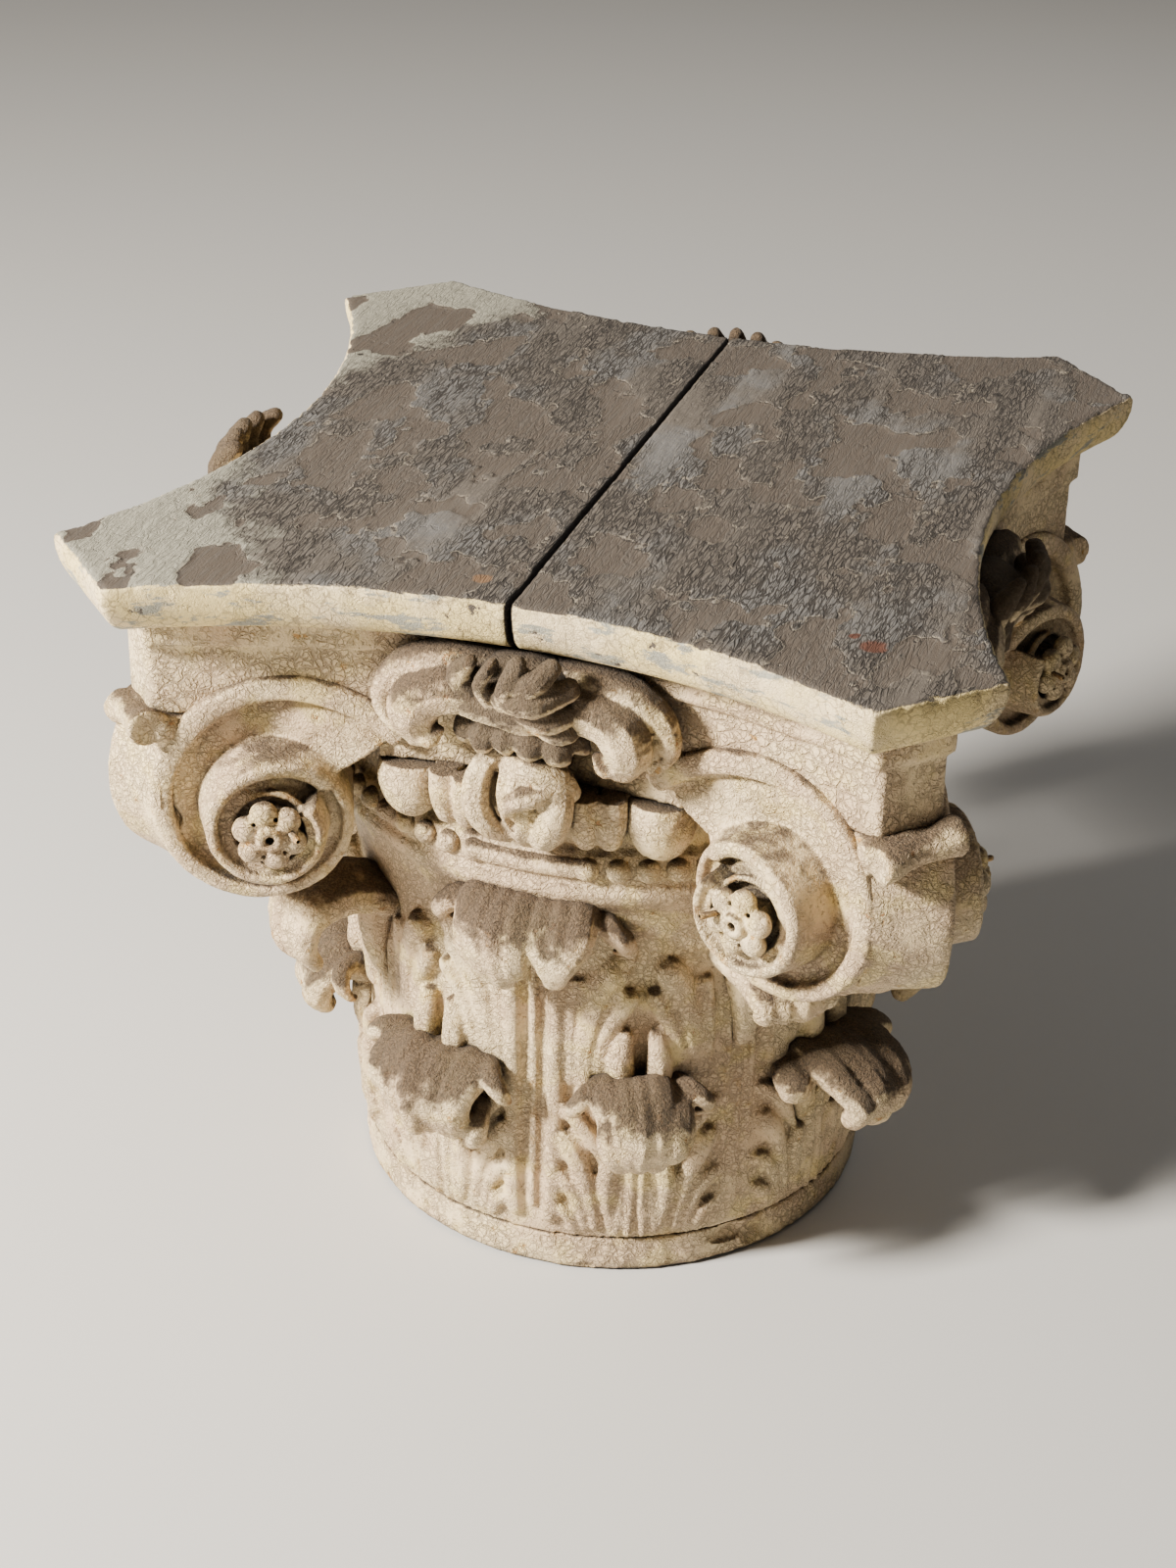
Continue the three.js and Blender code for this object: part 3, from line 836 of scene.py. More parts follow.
# %% Section of the band
def band_section(angle, inner):
    """Radius and height of the band's section, from its outer edge to the hollow of its channel."""
    outer, crest = coil_radius(angle), crest_height(angle)
    gap = outer - inner
    rim = min(RIM, gap * 0.42)
    deep = min(CHANNEL, gap * 0.3)
    run = gap - rim
    return [
        (outer, crest - 6),
        (outer - 0.6, crest - 2.4),
        (outer - 2.6, crest - 0.5),
        (outer - rim * 0.5, crest + 0.5),
        (outer - rim + 2.2, crest - 0.2),
        (outer - rim + 0.4, crest - 1.8),
        (outer - rim - 0.4, crest - deep * 0.85),
        (outer - rim - 2.4, crest - deep * 1.25),
        (outer - rim - 3.4 - run * 0.12, crest - deep * 1.0),
        (outer - rim - run * 0.42, crest - deep * 0.92),
        (outer - rim - run * 0.64, crest - deep * 1.02),
    ]


def coil():
    """The coil as one closed surface: two turns of the band, its side, and a flat back."""
    turn, first, back = STATIONS_PER_TURN, VOLUTE["first"], VOLUTE["back"]
    step = 360 / turn
    angles = [first + i * step for i in range(2 * turn + 1)]
    inners = [coil_radius(angle + 360) if i < turn else VOLUTE["eye"] for i, angle in enumerate(angles)]
    bands = [[on_volute(angle, radius, height) for radius, height in band_section(angle, inner)]
             for angle, inner in zip(angles, inners)]
    feet = []
    for angle in angles[:turn + 1]:
        inner = coil_radius(angle + 360)
        lean = min(WALL, (coil_radius(angle) - inner) * 0.2)
        feet.append(on_volute(angle, inner + lean, crest_height(min(angle, 250)) - CHANNEL - 1.5))
    eye = [on_volute(angle, VOLUTE["eye"], VOLUTE["eye_height"]) for angle in angles[:turn]]
    side = [(on_volute(a, coil_radius(a), -back), on_volute(a, coil_radius(a), -1)) for a in angles[:turn]]
    normal = on_volute(0, 0, 1) - on_volute(0, 0, 0)
    drop = (feet[0] - on_volute(0, 0, -back)).dot(normal) / normal.length_squared
    side.append((feet[0] - normal * drop, feet[0]))
    centre_floor, centre_back = on_volute(0, 0, VOLUTE["eye_height"] - 1), on_volute(0, 0, -back)
    mesh = bmesh.new()

    def face(*corners):
        mesh.faces.new([mesh.verts.new(corner) for corner in corners])

    for i in range(2 * turn):
        here, after, k = bands[i], bands[i + 1], i % turn
        start, end = (side[k][1], side[k + 1][1]) if i < turn else (feet[k], feet[k + 1])
        face(start, end, after[0], here[0])
        for j in range(len(here) - 1):
            face(here[j], after[j], after[j + 1], here[j + 1])
        if i < turn:
            face(here[-1], after[-1], feet[k + 1], feet[k])
            face(side[k][0], side[k + 1][0], side[k + 1][1], side[k][1])
            face(centre_back, side[k + 1][0], side[k][0])
        else:
            face(here[-1], after[-1], eye[(k + 1) % turn], eye[k])
            face(eye[k], eye[(k + 1) % turn], centre_floor)
    face(centre_back, side[0][0], side[turn][0])
    face(side[0][0], side[0][1], *bands[0], feet[0], side[turn][0])
    face(bands[turn][-1], eye[0], *reversed(bands[2 * turn]), feet[turn])
    bmesh.ops.remove_doubles(mesh, verts=mesh.verts, dist=SAME_PLACE)
    bmesh.ops.recalc_face_normals(mesh, faces=mesh.faces)
    data = bpy.data.meshes.new("coil")
    mesh.to_mesh(data)
    mesh.free()
    return bring_in("coil", data)


# %% Rosette
PETALS = 6
PETAL_RING = 15.6
PETAL_TURN = 12
BUTTON_LUMPS = 10


def rosette():
    turn = -math.degrees(VOLUTE["turned"])
    parts = [rod([on_volute(0, 0, 14), on_volute(0, 0, 35)], [17, 14], 2)]
    for k in range(PETALS):
        angle = k * 360 / PETALS + PETAL_TURN
        parts.append(ball(on_volute(angle, PETAL_RING, 40), (9.2, 7, 9.2), turn))
        parts.append(ball(on_volute(angle, 8, 38), (5, 7, 5), turn))
    for k in range(BUTTON_LUMPS):
        parts.append(ball(on_volute(k * 360 / BUTTON_LUMPS, 5.8, 46), (3.2, 3.6, 3.2), turn))
    flower = weld(parts, "rosette")
    holes = [rod([on_volute(0, 0, 43), on_volute(0, 0, 60)], [2.8, 3.4], 2)]
    for k in range(PETALS):
        angle = (k + 0.5) * 360 / PETALS + PETAL_TURN
        holes.append(rod([on_volute(angle, 12, 38), on_volute(angle, 18, 54)], [1.2, 2.2], 2))
    return cut(flower, holes)


def volute():
    angles = range(-128, 136, 16)
    ring = [on_volute(angle, 24.5, 27.5) for angle in angles]
    whorl = rod(ring, [2.8 - 0.8 * (angle / 132) ** 2 for angle in angles], 1)
    return joined([weld([coil(), whorl], "coil"), rosette()], "volute")


FACE_NAMES = ("front", "east", "back", "west")
right_volute = volute()
for k, face in enumerate(FACE_NAMES):
    for side, mirrored in (("right", False), ("left", True)):
        set_copy(right_volute, f"volute_{face}_{side}", "volute", 90 * k, mirrored, (0, -PUSHES[k]))
discard(right_volute)
print("a volute has", triangles(finished[-1]), "triangles")

# %% [markdown]
# ## Corner straps
#
# Between the two volutes of a corner hangs a broad strap. Its top is rolled outwards into a bar with a
# knob at each end. Below, its front hangs in three flat folds. The slab is lofted across from one
# profile, and the roll from circles. The lower end of the strap at the front right has splintered.


# %% Strap
def on_corner(out, side, height):
    """A place on the corner between front and right: out along the diagonal, sideways and height."""
    return Vector(((out + side) / math.sqrt(2), (side - out) / math.sqrt(2), height)) * MM


# Distance out and height along the front of the strap, in mm
STRAP_FRONT = ((338, 430), (336, 408), (330, 394), (333, 386), (332, 366), (325, 350), (330, 342),
               (326, 322), (316, 305))
STRAP_HALF = 28
STRAP_INNER = 275
ROLL_OUT = 343
ROLL_SIDES = 24
# Place across the corner, radius and height of the roll
ROLL = ((-26, 11, 417), (-25, 12.5, 417), (-17, 12, 418), (-8, 10, 420), (4, 9.5, 421), (15, 11, 423),
        (24, 13, 425), (29, 13.5, 425), (30, 12, 425))


def strap():
    rings = []
    for side in np.linspace(-STRAP_HALF, STRAP_HALF, 11):
        bow = 3.5 * (side / STRAP_HALF) ** 2
        ring = [on_corner(out - bow, side, height + 2.5 * math.sin(side / 8 + height / 30))
                for out, height in STRAP_FRONT]
        rings.append(ring + [on_corner(STRAP_INNER, side, height) for height in (305, 430)])
    circles = []
    for side, radius, height in ROLL:
        turns = [2 * math.pi * i / ROLL_SIDES for i in range(ROLL_SIDES)]
        circles.append([on_corner(ROLL_OUT + radius * math.cos(turn), side, height + radius * math.sin(turn))
                        for turn in turns])
    neck = [on_corner(ROLL_OUT - 12, side, 420) for side in (-20, 20)]
    parts = [loft(rings, "slab"), loft(circles, "roll"), rod(neck, [13, 13], 2)]
    return weld(parts, "strap")


# %% Straps set at the corners
# Distance out, sideways, height and size of each splinter broken out, in mm
SPLINTERS = ((322, -22, 300, 9), (326, -4, 303, 6), (322, 16, 296, 10))


def splinter(out, side, height, size):
    bpy.ops.mesh.primitive_cone_add(vertices=6, radius1=size * MM, depth=36 * MM, rotation=(0.4, 0.2, 0.6),
                                    location=on_corner(out, side, height))
    return settle(bpy.context.object)


strap_model = strap()
for k, corner in enumerate(("front_right", "back_right", "back_left", "front_left")):
    shift = (PUSHES[(k + 1) % FACES] * CORNER_SHARE, -PUSHES[k] * CORNER_SHARE)
    piece = copy_of(strap_model, f"corner_strap_{corner}", 90 * k, shift=shift)
    if k == 0:
        cut(piece, [splinter(*place) for place in SPLINTERS])
    finish_piece(wear(piece, "strap"), "carving_paint")
discard(strap_model)

# %% [markdown]
# ## Egg and dart
#
# An egg is a ball with its top sawn off flat, where dust has gathered. The dart beside it has shrunk to
# a square block with one notch down its front.

# %% Eggs and darts
EGG = {"angle": 24.4, "radius": 205, "height": 384, "half": (23.5, 23, 33), "cut": 396}
DART = {"angle": 13.2, "radius": 205, "cut": 398}


def saw_top(thing, height):
    """The part of a thing above a height sawn off flat."""
    return edit_mesh(thing, bpy.ops.mesh.bisect, plane_co=(0, 0, height * MM), plane_no=(0, 0, 1),
                     use_fill=True, clear_outer=True)


def egg():
    bpy.ops.mesh.primitive_uv_sphere_add(segments=40, ring_count=28, radius=MM, scale=EGG["half"],
                                         location=(0, 0, EGG["height"] * MM))
    thing = saw_top(settle(bpy.context.object, "egg"), EGG["cut"])
    thing.data.transform(Matrix.Translation((0, -EGG["radius"] * MM, 0)))
    return weld([thing], "egg")


def dart():
    parts = []
    for side in (-1, 1):
        out = DART["radius"] + 6
        places = [at(side * 9, out, 402), at(side * 9, out, 382), at(side * 7.5, out - 3, 367)]
        parts.append(rod(places, [9.5, 10.5, 9], 4))
        parts.append(rod([place + at(side * 2, -12, 0) for place in places], [10, 11, 9], 4))
    return weld([saw_top(part, DART["cut"]) for part in parts], "dart")


egg_model, dart_model = egg(), dart()
for k, face in enumerate(FACE_NAMES):
    for side, word in ((-1, "left"), (1, "right")):
        for model, angle in ((egg_model, EGG["angle"]), (dart_model, DART["angle"])):
            set_copy(model, f"{model.name}_{face}_{word}", "band", 90 * k + side * angle)
discard(egg_model, dart_model)

# %% [markdown]
# ## The middle of a face
#
# Here sit a leaf between the darts, a flower under the abacus, and two husks that scroll away from it
# and hook down at their ends. They are bundles of rods, laid as the carver's ridges run.


# %% Leaf between the darts
CENTRE_RIDGES = (
    (((-12, 218, 430), (-23, 224, 416), (-25, 230, 396), (-18, 230, 380), (-6, 224, 371)), (7, 9, 10, 9, 6)),
    (((-6, 218, 428), (10, 230, 425), (28, 226, 417), (33, 216, 404)), (9, 11, 10, 7)),
    (((27, 220, 414), (28, 232, 398), (23, 230, 380), (14, 222, 370)), (10, 12, 11, 7)),
    (((32, 230, 412), (16, 240, 410), (2, 243, 404), (0, 240, 397)), (5, 7.5, 6.5, 4)),
    (((6, 216, 420), (4, 226, 402), (5, 222, 378)), (18, 17, 12)),
)


def centre_leaf():
    parts = face_rods(CENTRE_RIDGES)
    parts.append(rod([at(4, 200, 430), at(4, 204, 372)], [24, 18], 2))
    leaf = weld(parts, "centre_leaf")
    bpy.ops.mesh.primitive_uv_sphere_add(segments=16, ring_count=10, radius=MM, scale=(5.5, 13, 9),
                                         location=at(0, 243, 384))
    return cut(leaf, [settle(bpy.context.object)])


# %% Husks
HUSK_MIDDLE = 4
HUSK_RIDGES = (
    (((14, 212, 480), (44, 220, 487), (72, 222, 483), (91, 222, 466), (94, 222, 448), (85, 224, 436)),
     (14, 14, 12, 9, 7, 5)),
    (((12, 216, 466), (40, 226, 472), (62, 230, 466), (70, 231, 452), (67, 228, 439)),
     (17, 18, 18, 17.5, 13)),
    (((67, 232, 440), (58, 236, 436), (52, 234, 443)), (7, 6, 4)),
    (((20, 214, 484), (50, 218, 486), (74, 218, 474)), (15, 17, 14)),
)


def husk():
    return weld(face_rods(HUSK_RIDGES), "husk")


# %% Flowers
# Short ridges under the flower: where the middle of each is, and its size
RUFFLE = ((-34, 224, 443, 8), (-20, 230, 441, 9), (-5, 232, 443, 8), (11, 232, 443, 9.5),
          (28, 229, 441, 10), (40, 222, 446, 7))
LUMPY_BAND = (((-46, 222, 464), (-26, 232, 466), (-2, 234, 463), (16, 230, 458)), (9, 11, 11, 8))
WORN_PETALS = (
    (((-22, 232, 468), (-33, 238, 486), (-22, 248, 502)), (9, 9, 5)),
    (((-10, 240, 472), (-15, 250, 488), (-6, 253, 505)), (6, 5.5, 4.5)),
    (((-3, 244, 476), (3, 254, 491), (11, 254, 508)), (6, 6.5, 6)),
    (((4, 246, 484), (20, 254, 496), (30, 248, 506)), (8, 9, 7)),
    (((-1, 246, 477), (18, 254, 482), (39, 242, 490)), (6, 9.5, 8)),
    (((8, 242, 470), (27, 247, 468), (42, 236, 474)), (6, 8, 7)),
    (((16, 236, 460), (34, 240, 458), (43, 230, 465)), (6, 8, 6)),
)


def flower_parts(petals, middle, half):
    parts = [ball(at(*middle), half)]
    for x, out, height, size in RUFFLE:
        ridge = ((x * 0.9, out - 12, height + 12), (x, out, height), (x * 1.05, out - 5, height - 8))
        parts += face_rods([(ridge, [size, size + 1, size * 0.7])])
    return parts + face_rods([LUMPY_BAND, *petals])


PETAL_SLITS = (
    (((-18, 262, 474), (-24, 258, 492), (-22, 250, 504)), (2.5, 4, 3)),
    (((-6, 268, 480), (-5, 262, 496), (1, 252, 508)), (2.5, 5.5, 4)),
)


def worn_flower():
    bloom = weld(flower_parts(WORN_PETALS, (6, 222, 474), (37, 26, 28)), "flower")
    return cut(bloom, face_rods(PETAL_SLITS))


def full_flower():
    petals = []
    for lean in (-2, -1, 0, 1, 2):
        places = ((6 * lean, 236, 456), (13 * lean, 262, 482), (16 * lean, 270 - lean ** 2, 508),
                  (17 * lean, 262 - 2 * lean ** 2, 526 - lean ** 2))
        petals.append((places, (9, 10.5, 9.5, 6)))
    return weld(flower_parts(petals, (0, 236, 480), (36, 27, 36)), "full_flower")


# %% Middle pieces set on the four faces
LIFTS = (0, 0, 10, 0)  # the flower at the back stands higher
leaf_model, husk_model = centre_leaf(), husk()
worn_model, full_model = worn_flower(), full_flower()
for k, face in enumerate(FACE_NAMES):
    bloom_model = full_model if k > 1 else worn_model
    set_copy(leaf_model, f"centre_leaf_{face}", "middle", 90 * k)
    set_copy(bloom_model, f"flower_{face}", "middle", 90 * k, shift=(0, -PUSHES[k], LIFTS[k]))
    for word, mirrored in (("right", False), ("left", True)):
        set_copy(husk_model, f"husk_{face}_{word}", "middle", 90 * k, mirrored, (HUSK_MIDDLE, -PUSHES[k]))
discard(leaf_model, husk_model, worn_model, full_model)

# %% [markdown]
# ## Leaves
#
# The tips of the acanthus leaves stand free of the bell: each one leans out, rolls over and hangs down
# as one thick mass with shallow folds, with small curls at its sides. They are modelled on the front,
# at the middle of the face, and then turned round to their places.


# %% Leaf tips
def tip_lobe(stations, reach=0.0):
    """One hanging lobe through (angle, radius, height, half thickness); its tip reaches further out."""
    last = len(stations) - 1
    places = [on_drum(angle, radius + reach * min(1, 1.5 * i / last), height)
              for i, (angle, radius, height, _) in enumerate(stations)]
    return rod(places, [size for _, _, _, size in stations])


def curl(side, angle, height, size=1.0, reach=0.0):
    """A small pointed scroll at the side of a leaf tip."""
    stations = ((angle - 2.5, 188, height + 2, 9), (angle, 203, height + 4, 8),
                (angle + 2.6, 207, height - 5, 6.5), (angle + 3.4, 201, height - 15, 4),
                (angle + 1.6, 197, height - 18, 3))
    return tip_lobe([(side * a, r, z, s * size) for a, r, z, s in stations], reach)


# %% Lower leaves
# Radius, height and half thickness along a fold
LOWER_TIP = ((186, 158, 12), (205, 162, 12.5), (220, 152, 12.5), (226, 137, 11.5), (219, 121, 8.5))


def lower_leaf(name, folds, narrow=0.62, reach=0.0, hook=False, knob=False):
    """A lower tip with a fold at each given angle, which draw together by a factor as they hang down.

    The hand of the carver strays a little at each station of a fold, the same way in every run.
    """
    parts = []
    hand = random.Random(len(folds) + len(name))
    for middle in folds:
        angle = middle + hand.uniform(-0.8, 0.8)
        stations = []
        for i, (radius, height, size) in enumerate(LOWER_TIP):
            share = 1 + (narrow - 1) * i / (len(LOWER_TIP) - 1)
            stations.append((
                angle * share + hand.uniform(-0.5, 0.5),
                radius - abs(angle) * 0.7 + hand.uniform(-1.5, 1.5),
                height - abs(angle) * 0.25 + hand.uniform(-3, 3),
                size * hand.uniform(0.86, 1.14),
            ))
        parts.append(tip_lobe(stations, reach))
    edge = max(folds)
    for side in (-1, 1):
        if knob and side < 0:
            parts.append(tip_lobe([(-edge - 3, 186, 150, 12), (-edge - 6, 205, 146, 13.5)]))
        else:
            parts.append(curl(side, edge + 2.6, 160, reach=reach * 0.5))
        parts.append(tip_lobe([(side * 5, 184, 140, 12), (side * 5, 186, 118, 10), (side * 4.5, 184, 98, 6)]))
    if hook:
        parts.append(tip_lobe([(0, 222, 150, 8), (1.2, 232, 136, 8), (2.2, 230, 122, 7), (0.2, 226, 117, 5)]))
        parts.append(tip_lobe([(10, 196, 130, 9), (11, 206, 122, 9), (10.5, 204, 108, 8), (8, 198, 100, 6)]))
    return weld(parts, name)


# %% Upper leaves
def upper_leaf():
    parts = []
    for angle, low, out in ((-9.6, 264, 214), (-6.8, 257, 218), (-3.6, 256, 220), (-0.8, 264, 218)):
        parts.append(tip_lobe([(angle, 186, 302, 13), (angle * 1.02, 204, 305, 13), (angle, out, 293, 13),
                               (angle * 0.9, out + 3, 274, 12), (angle * 0.8, out - 5, low, 9)]))
    for angle in (3.4, 6.8, 10.0):
        parts.append(tip_lobe([(angle, 186, 300, 13), (angle, 204, 302, 13), (angle, 216, 292, 12),
                               (4 + angle * 0.4, 221, 276, 10), (5 + angle * 0.18, 216, 260, 6)]))
    parts.append(curl(-1, 14.6, 296, 1.2))
    parts.append(curl(1, 15.4, 293))
    parts.append(tip_lobe([(15, 194, 290, 8), (18.5, 202, 286, 8), (19.6, 198, 276, 6)]))
    for side in (-1, 1):
        parts.append(tip_lobe([(side * 5.5, 186, 280, 13), (side * 5.5, 187, 260, 11),
                               (side * 5, 185, 242, 6)]))
    return weld(parts, "upper_leaf")


# %% Corner leaves
ROOT = 266  # height where a corner tip turns over


def corner_leaf(name, hang):
    """A corner tip of five close folds; hang says how much of its full height it hangs down."""
    parts = []
    for angle in (-5.2, -2.6, 0, 2.6, 5.2):
        near = abs(angle) * 1.1
        stations = ((184, 258 - near, 13), (214, 268 - near, 12), (243 - near, 266 - near, 11.5),
                    (257 - near, 250, 10), (259 - near, 232, 8), (252 - near, 219, 6))
        parts.append(tip_lobe([(angle, radius, ROOT - (ROOT - height) * hang, size)
                               for radius, height, size in stations]))
    parts.append(tip_lobe([(0, 188, 240, 17), (0, 190, 214, 12), (0, 185, 188, 7)]))
    return weld(parts, name)


# %% Leaves set round the bell
def set_leaves(model, places):
    for angle, name in places:
        set_copy(model, name, "leaf", angle)
    discard(model)


plain = lower_leaf("lower_leaf", (-7.4, -3.7, 0, 3.7, 7.4))
set_leaves(plain, [(LEAF_AT + 45 * k, f"lower_leaf_{k + 1}") for k in (0, 2, 3, 4, 5, 6)])
far = lower_leaf("far_leaf", (-7, -3.4, 0, 3.4, 7), reach=21, knob=True)
set_leaves(far, [(LEAF_AT + 45, "lower_leaf_2")])
wide = lower_leaf("wide_leaf", (-11.5, -7.6, -3.8, 0, 3.8, 7.6, 11), 0.66, hook=True)
set_leaves(wide, [(-LEAF_AT + 1.5, "lower_leaf_8")])
set_leaves(upper_leaf(), [(90 * k, f"upper_leaf_{face}") for k, face in enumerate(FACE_NAMES)])
set_leaves(corner_leaf("corner_leaf", 1.0), [(45 + 90 * k, f"corner_leaf_{k + 1}") for k in (1, 2, 3)])
set_leaves(corner_leaf("short_leaf", 0.42), [(45, "corner_leaf_1")])

# %% [markdown]
# ## The foot board
#
# A thin round board closes the bell below. It is turned like the bell and fluted in fans. Pieces have
# broken off its edge, the largest at the front right.

# %% Foot board
FOOT_PROFILE = ((0, 0), (184, 0), (186, 2), (186, 14), (185.5, FOOT_BOARD - 1), (184, FOOT_BOARD),
                (0, FOOT_BOARD))
# Flutes of one fan: angle from its middle, and how far they lean
FOOT_FAN = ((-9, -3), (-5.5, -1.6), (-2, -0.5), (2, 0.5), (5.5, 1.6), (9, 3))
# Breaks in the edge: angle, radius and height of the middle, and half sizes
FOOT_CHIPS = ((44, 190, 20, (20, 11, 9)), (50, 189, 14, (11, 9, 11)), (-62, 190, 10, (12, 6, 9)),
              (12, 189, 3, (10, 5, 4)))


def foot():
    base = turned(FOOT_PROFILE, "foot")
    fans = []
    for k in range(8):
        middle = LEAF_AT + 45 * k
        for angle, lean in FOOT_FAN:
            places = [on_drum(middle + angle, 182, FOOT_BOARD - 4), on_drum(middle + angle + lean, 182, 6)]
            fans.append(rod(places, [5, 5], 2))
    disc = weld([base] + fans, "foot_board_worn")
    return cut(disc, [ball(on_drum(angle, radius, height), half, angle)
                      for angle, radius, height, half in FOOT_CHIPS])


foot_board = wear(foot(), "foot")
for vertex in foot_board.data.vertices:
    vertex.co.z = max(vertex.co.z, 0.0)
finish_piece(foot_board, "foot_paint", "foot_board")
print(len(finished), "pieces,", sum(triangles(piece) for piece in finished), "triangles")

# %% [markdown]
# ## Old paint
#
# The capital was painted many times, and the paint has crackled, chipped and gathered dust. All of it is
# built from nodes on object coordinates, so nothing has to be unwrapped. Every effect that more than one
# finish uses is a node group: cracks, chips, and settled dust with dirt and painted shade in the hollows.


# %% Node helpers
def add(tree, kind, sockets, **settings):
    """A shader node with its settings, and its sockets linked or set."""
    node = tree.nodes.new("ShaderNode" + kind)
    for name, value in settings.items():
        setattr(node, name, value)
    for key, value in sockets.items():
        socket = node.inputs[key]
        if isinstance(value, bpy.types.NodeSocket):
            tree.links.new(value, socket)
        else:
            socket.default_value = value
    return node


def place_group(tree, group, **sockets):
    """A node group placed in a material, with its values; gives its outputs."""
    return add(tree, "Group", sockets, node_tree=group).outputs


def calculate(tree, operation, first, second=0.0):
    return add(tree, "Math", {0: first, 1: second}, operation=operation).outputs[0]


def plus(tree, first, second):
    return calculate(tree, "ADD", first, second)


def minus(tree, first, second):
    return calculate(tree, "SUBTRACT", first, second)


def times(tree, first, second):
    return calculate(tree, "MULTIPLY", first, second)


def blend(tree, mask, under, over):
    return add(tree, "Mix", {0: mask, 6: under, 7: over}, data_type="RGBA").outputs[2]


def layered(tree, paint, layers):
    """Thin layers of (mask, strength, colour) over a paint, one after the other."""
    for mask, strength, colour in layers:
        paint = blend(tree, times(tree, mask, strength), paint, colour)
    return paint


def ease(tree, value, low, high):
    """0 below low and 1 above high, with a soft step between; low may be the larger one."""
    return add(tree, "MapRange", {"Value": value, "From Min": low, "From Max": high},
               interpolation_type="SMOOTHSTEP").outputs[0]


def grain(tree, place, size, detail=3.0, rough=0.55):
    """A noise whose lumps are about size mm wide."""
    return add(tree, "TexNoise", {"Vector": place, "Scale": 1 / (size * MM), "Detail": detail,
                                  "Roughness": rough}).outputs["Fac"]


def patches(tree, place, size, low, high, detail=3.0, rough=0.55):
    """Soft-edged patches: the part of a grain above low, whole above high."""
    return ease(tree, grain(tree, place, size, detail, rough), low, high)


def spread(tree, value, amount):
    """How far a value lies from one half, times an amount."""
    return times(tree, minus(tree, value, 0.5), amount)


def stretched(tree, place, x, y, z):
    return add(tree, "Mapping", {"Vector": place, "Scale": (x, y, z)}).outputs[0]


def tone(red, green, blue):
    return (red, green, blue, 1.0)


def new_group(name, inputs, outputs):
    """An empty node group: its tree, the sockets it reads, and a function that fills its outputs.

    Every input is a float, apart from Place.
    """
    group = bpy.data.node_groups.new(name, "ShaderNodeTree")
    for label in inputs:
        kind = "NodeSocketVector" if label == "Place" else "NodeSocketFloat"
        group.interface.new_socket(name=label, in_out="INPUT", socket_type=kind)
    for label in outputs:
        group.interface.new_socket(name=label, in_out="OUTPUT", socket_type="NodeSocketFloat")
    start, end = group.nodes.new("NodeGroupInput"), group.nodes.new("NodeGroupOutput")

    def put(**results):
        for label, socket in results.items():
            group.links.new(socket, end.inputs[label])
    return group, start.outputs, put


# %% [markdown]
# Crackle is the line between cells of a Voronoi pattern. The cells are bent by a noise, so that they are
# not too regular, and a second noise leaves some of the paint whole.

# %% Crackle group
BEND_DENSITY = 160.0
BEND = 0.006  # how far the noise moves a place, in metres
WHOLE_PAINT = 34  # size of the patches that stay whole, in mm


def crackle_group():
    group, given, put = new_group("crackle", ("Place", "Density", "Amount"), ("Crack", "Shade"))
    bend = add(group, "TexNoise", {"Vector": given["Place"], "Scale": BEND_DENSITY, "Detail": 2.0})
    bend = add(group, "VectorMath", {0: bend.outputs["Color"], "Scale": BEND}, operation="SCALE")
    place = add(group, "VectorMath", {0: given["Place"], 1: bend.outputs[0]}, operation="ADD").outputs[0]
    cells = {"Vector": place, "Scale": given["Density"]}
    edge = add(group, "TexVoronoi", cells, feature="DISTANCE_TO_EDGE").outputs["Distance"]
    shade = add(group, "SeparateColor", {0: add(group, "TexVoronoi", cells).outputs["Color"]}).outputs[0]
    line = times(group, ease(group, edge, 0.095, 0.025),
                 patches(group, given["Place"], WHOLE_PAINT, 0.32, 0.52))
    put(Crack=times(group, line, given["Amount"]), Shade=shade)
    return group


# %% [markdown]
# Paint chips off in lumps, and sooner where an edge stands out. The rim of a chip is a little wider than
# the chip, so that the bump can let the edge of the paint down.

# %% Chip group
CHIP_SIZE = 13  # in mm


def chip_group():
    group, given, put = new_group("chips", ("Place", "Edge", "Amount"), ("Chip", "Rim"))
    lumps = grain(group, given["Place"], CHIP_SIZE, 4.0, 0.62)
    lumps = plus(group, lumps, times(group, minus(group, 1.0, given["Edge"]), 0.24))
    level = plus(group, lumps, times(group, given["Amount"], 0.2))
    put(Chip=ease(group, level, 0.76, 0.785), Rim=ease(group, level, 0.725, 0.76))
    return group


# %% [markdown]
# Dust lies where the surface faces up, in clumps, and dirt with painted shade sits where it is closed
# in, as ambient occlusion finds it. The fuzz is the furry texture of the dust.

# %% Dust group
CLUMP_SIZE = 16  # in mm
FUZZ_SIZE = 1.5


def dust_group():
    group, given, put = new_group("dust", ("Place", "Up", "Open", "Amount"), ("Dust", "Dirt", "Fuzz"))
    clumps = grain(group, given["Place"], CLUMP_SIZE, 5.0, 0.65)
    lies = plus(group, given["Up"], spread(group, clumps, 1.3))
    lies = plus(group, lies, times(group, minus(group, given["Amount"], 1.0), 0.6))
    # How closed in the surface is: the mask of dirt and painted shade.
    closed = plus(group, minus(group, 1.0, given["Open"]), spread(group, clumps, 0.5))
    fuzz = grain(group, stretched(group, given["Place"], 1.0, 1.0, 0.5), FUZZ_SIZE, 4.0, 0.7)
    put(Dust=ease(group, lies, 0.40, 0.84), Dirt=ease(group, closed, 0.42, 0.86), Fuzz=fuzz)
    return group


CRACKLE, CHIPS, DUST = crackle_group(), chip_group(), dust_group()
print("groups", [group.name for group in (CRACKLE, CHIPS, DUST)])
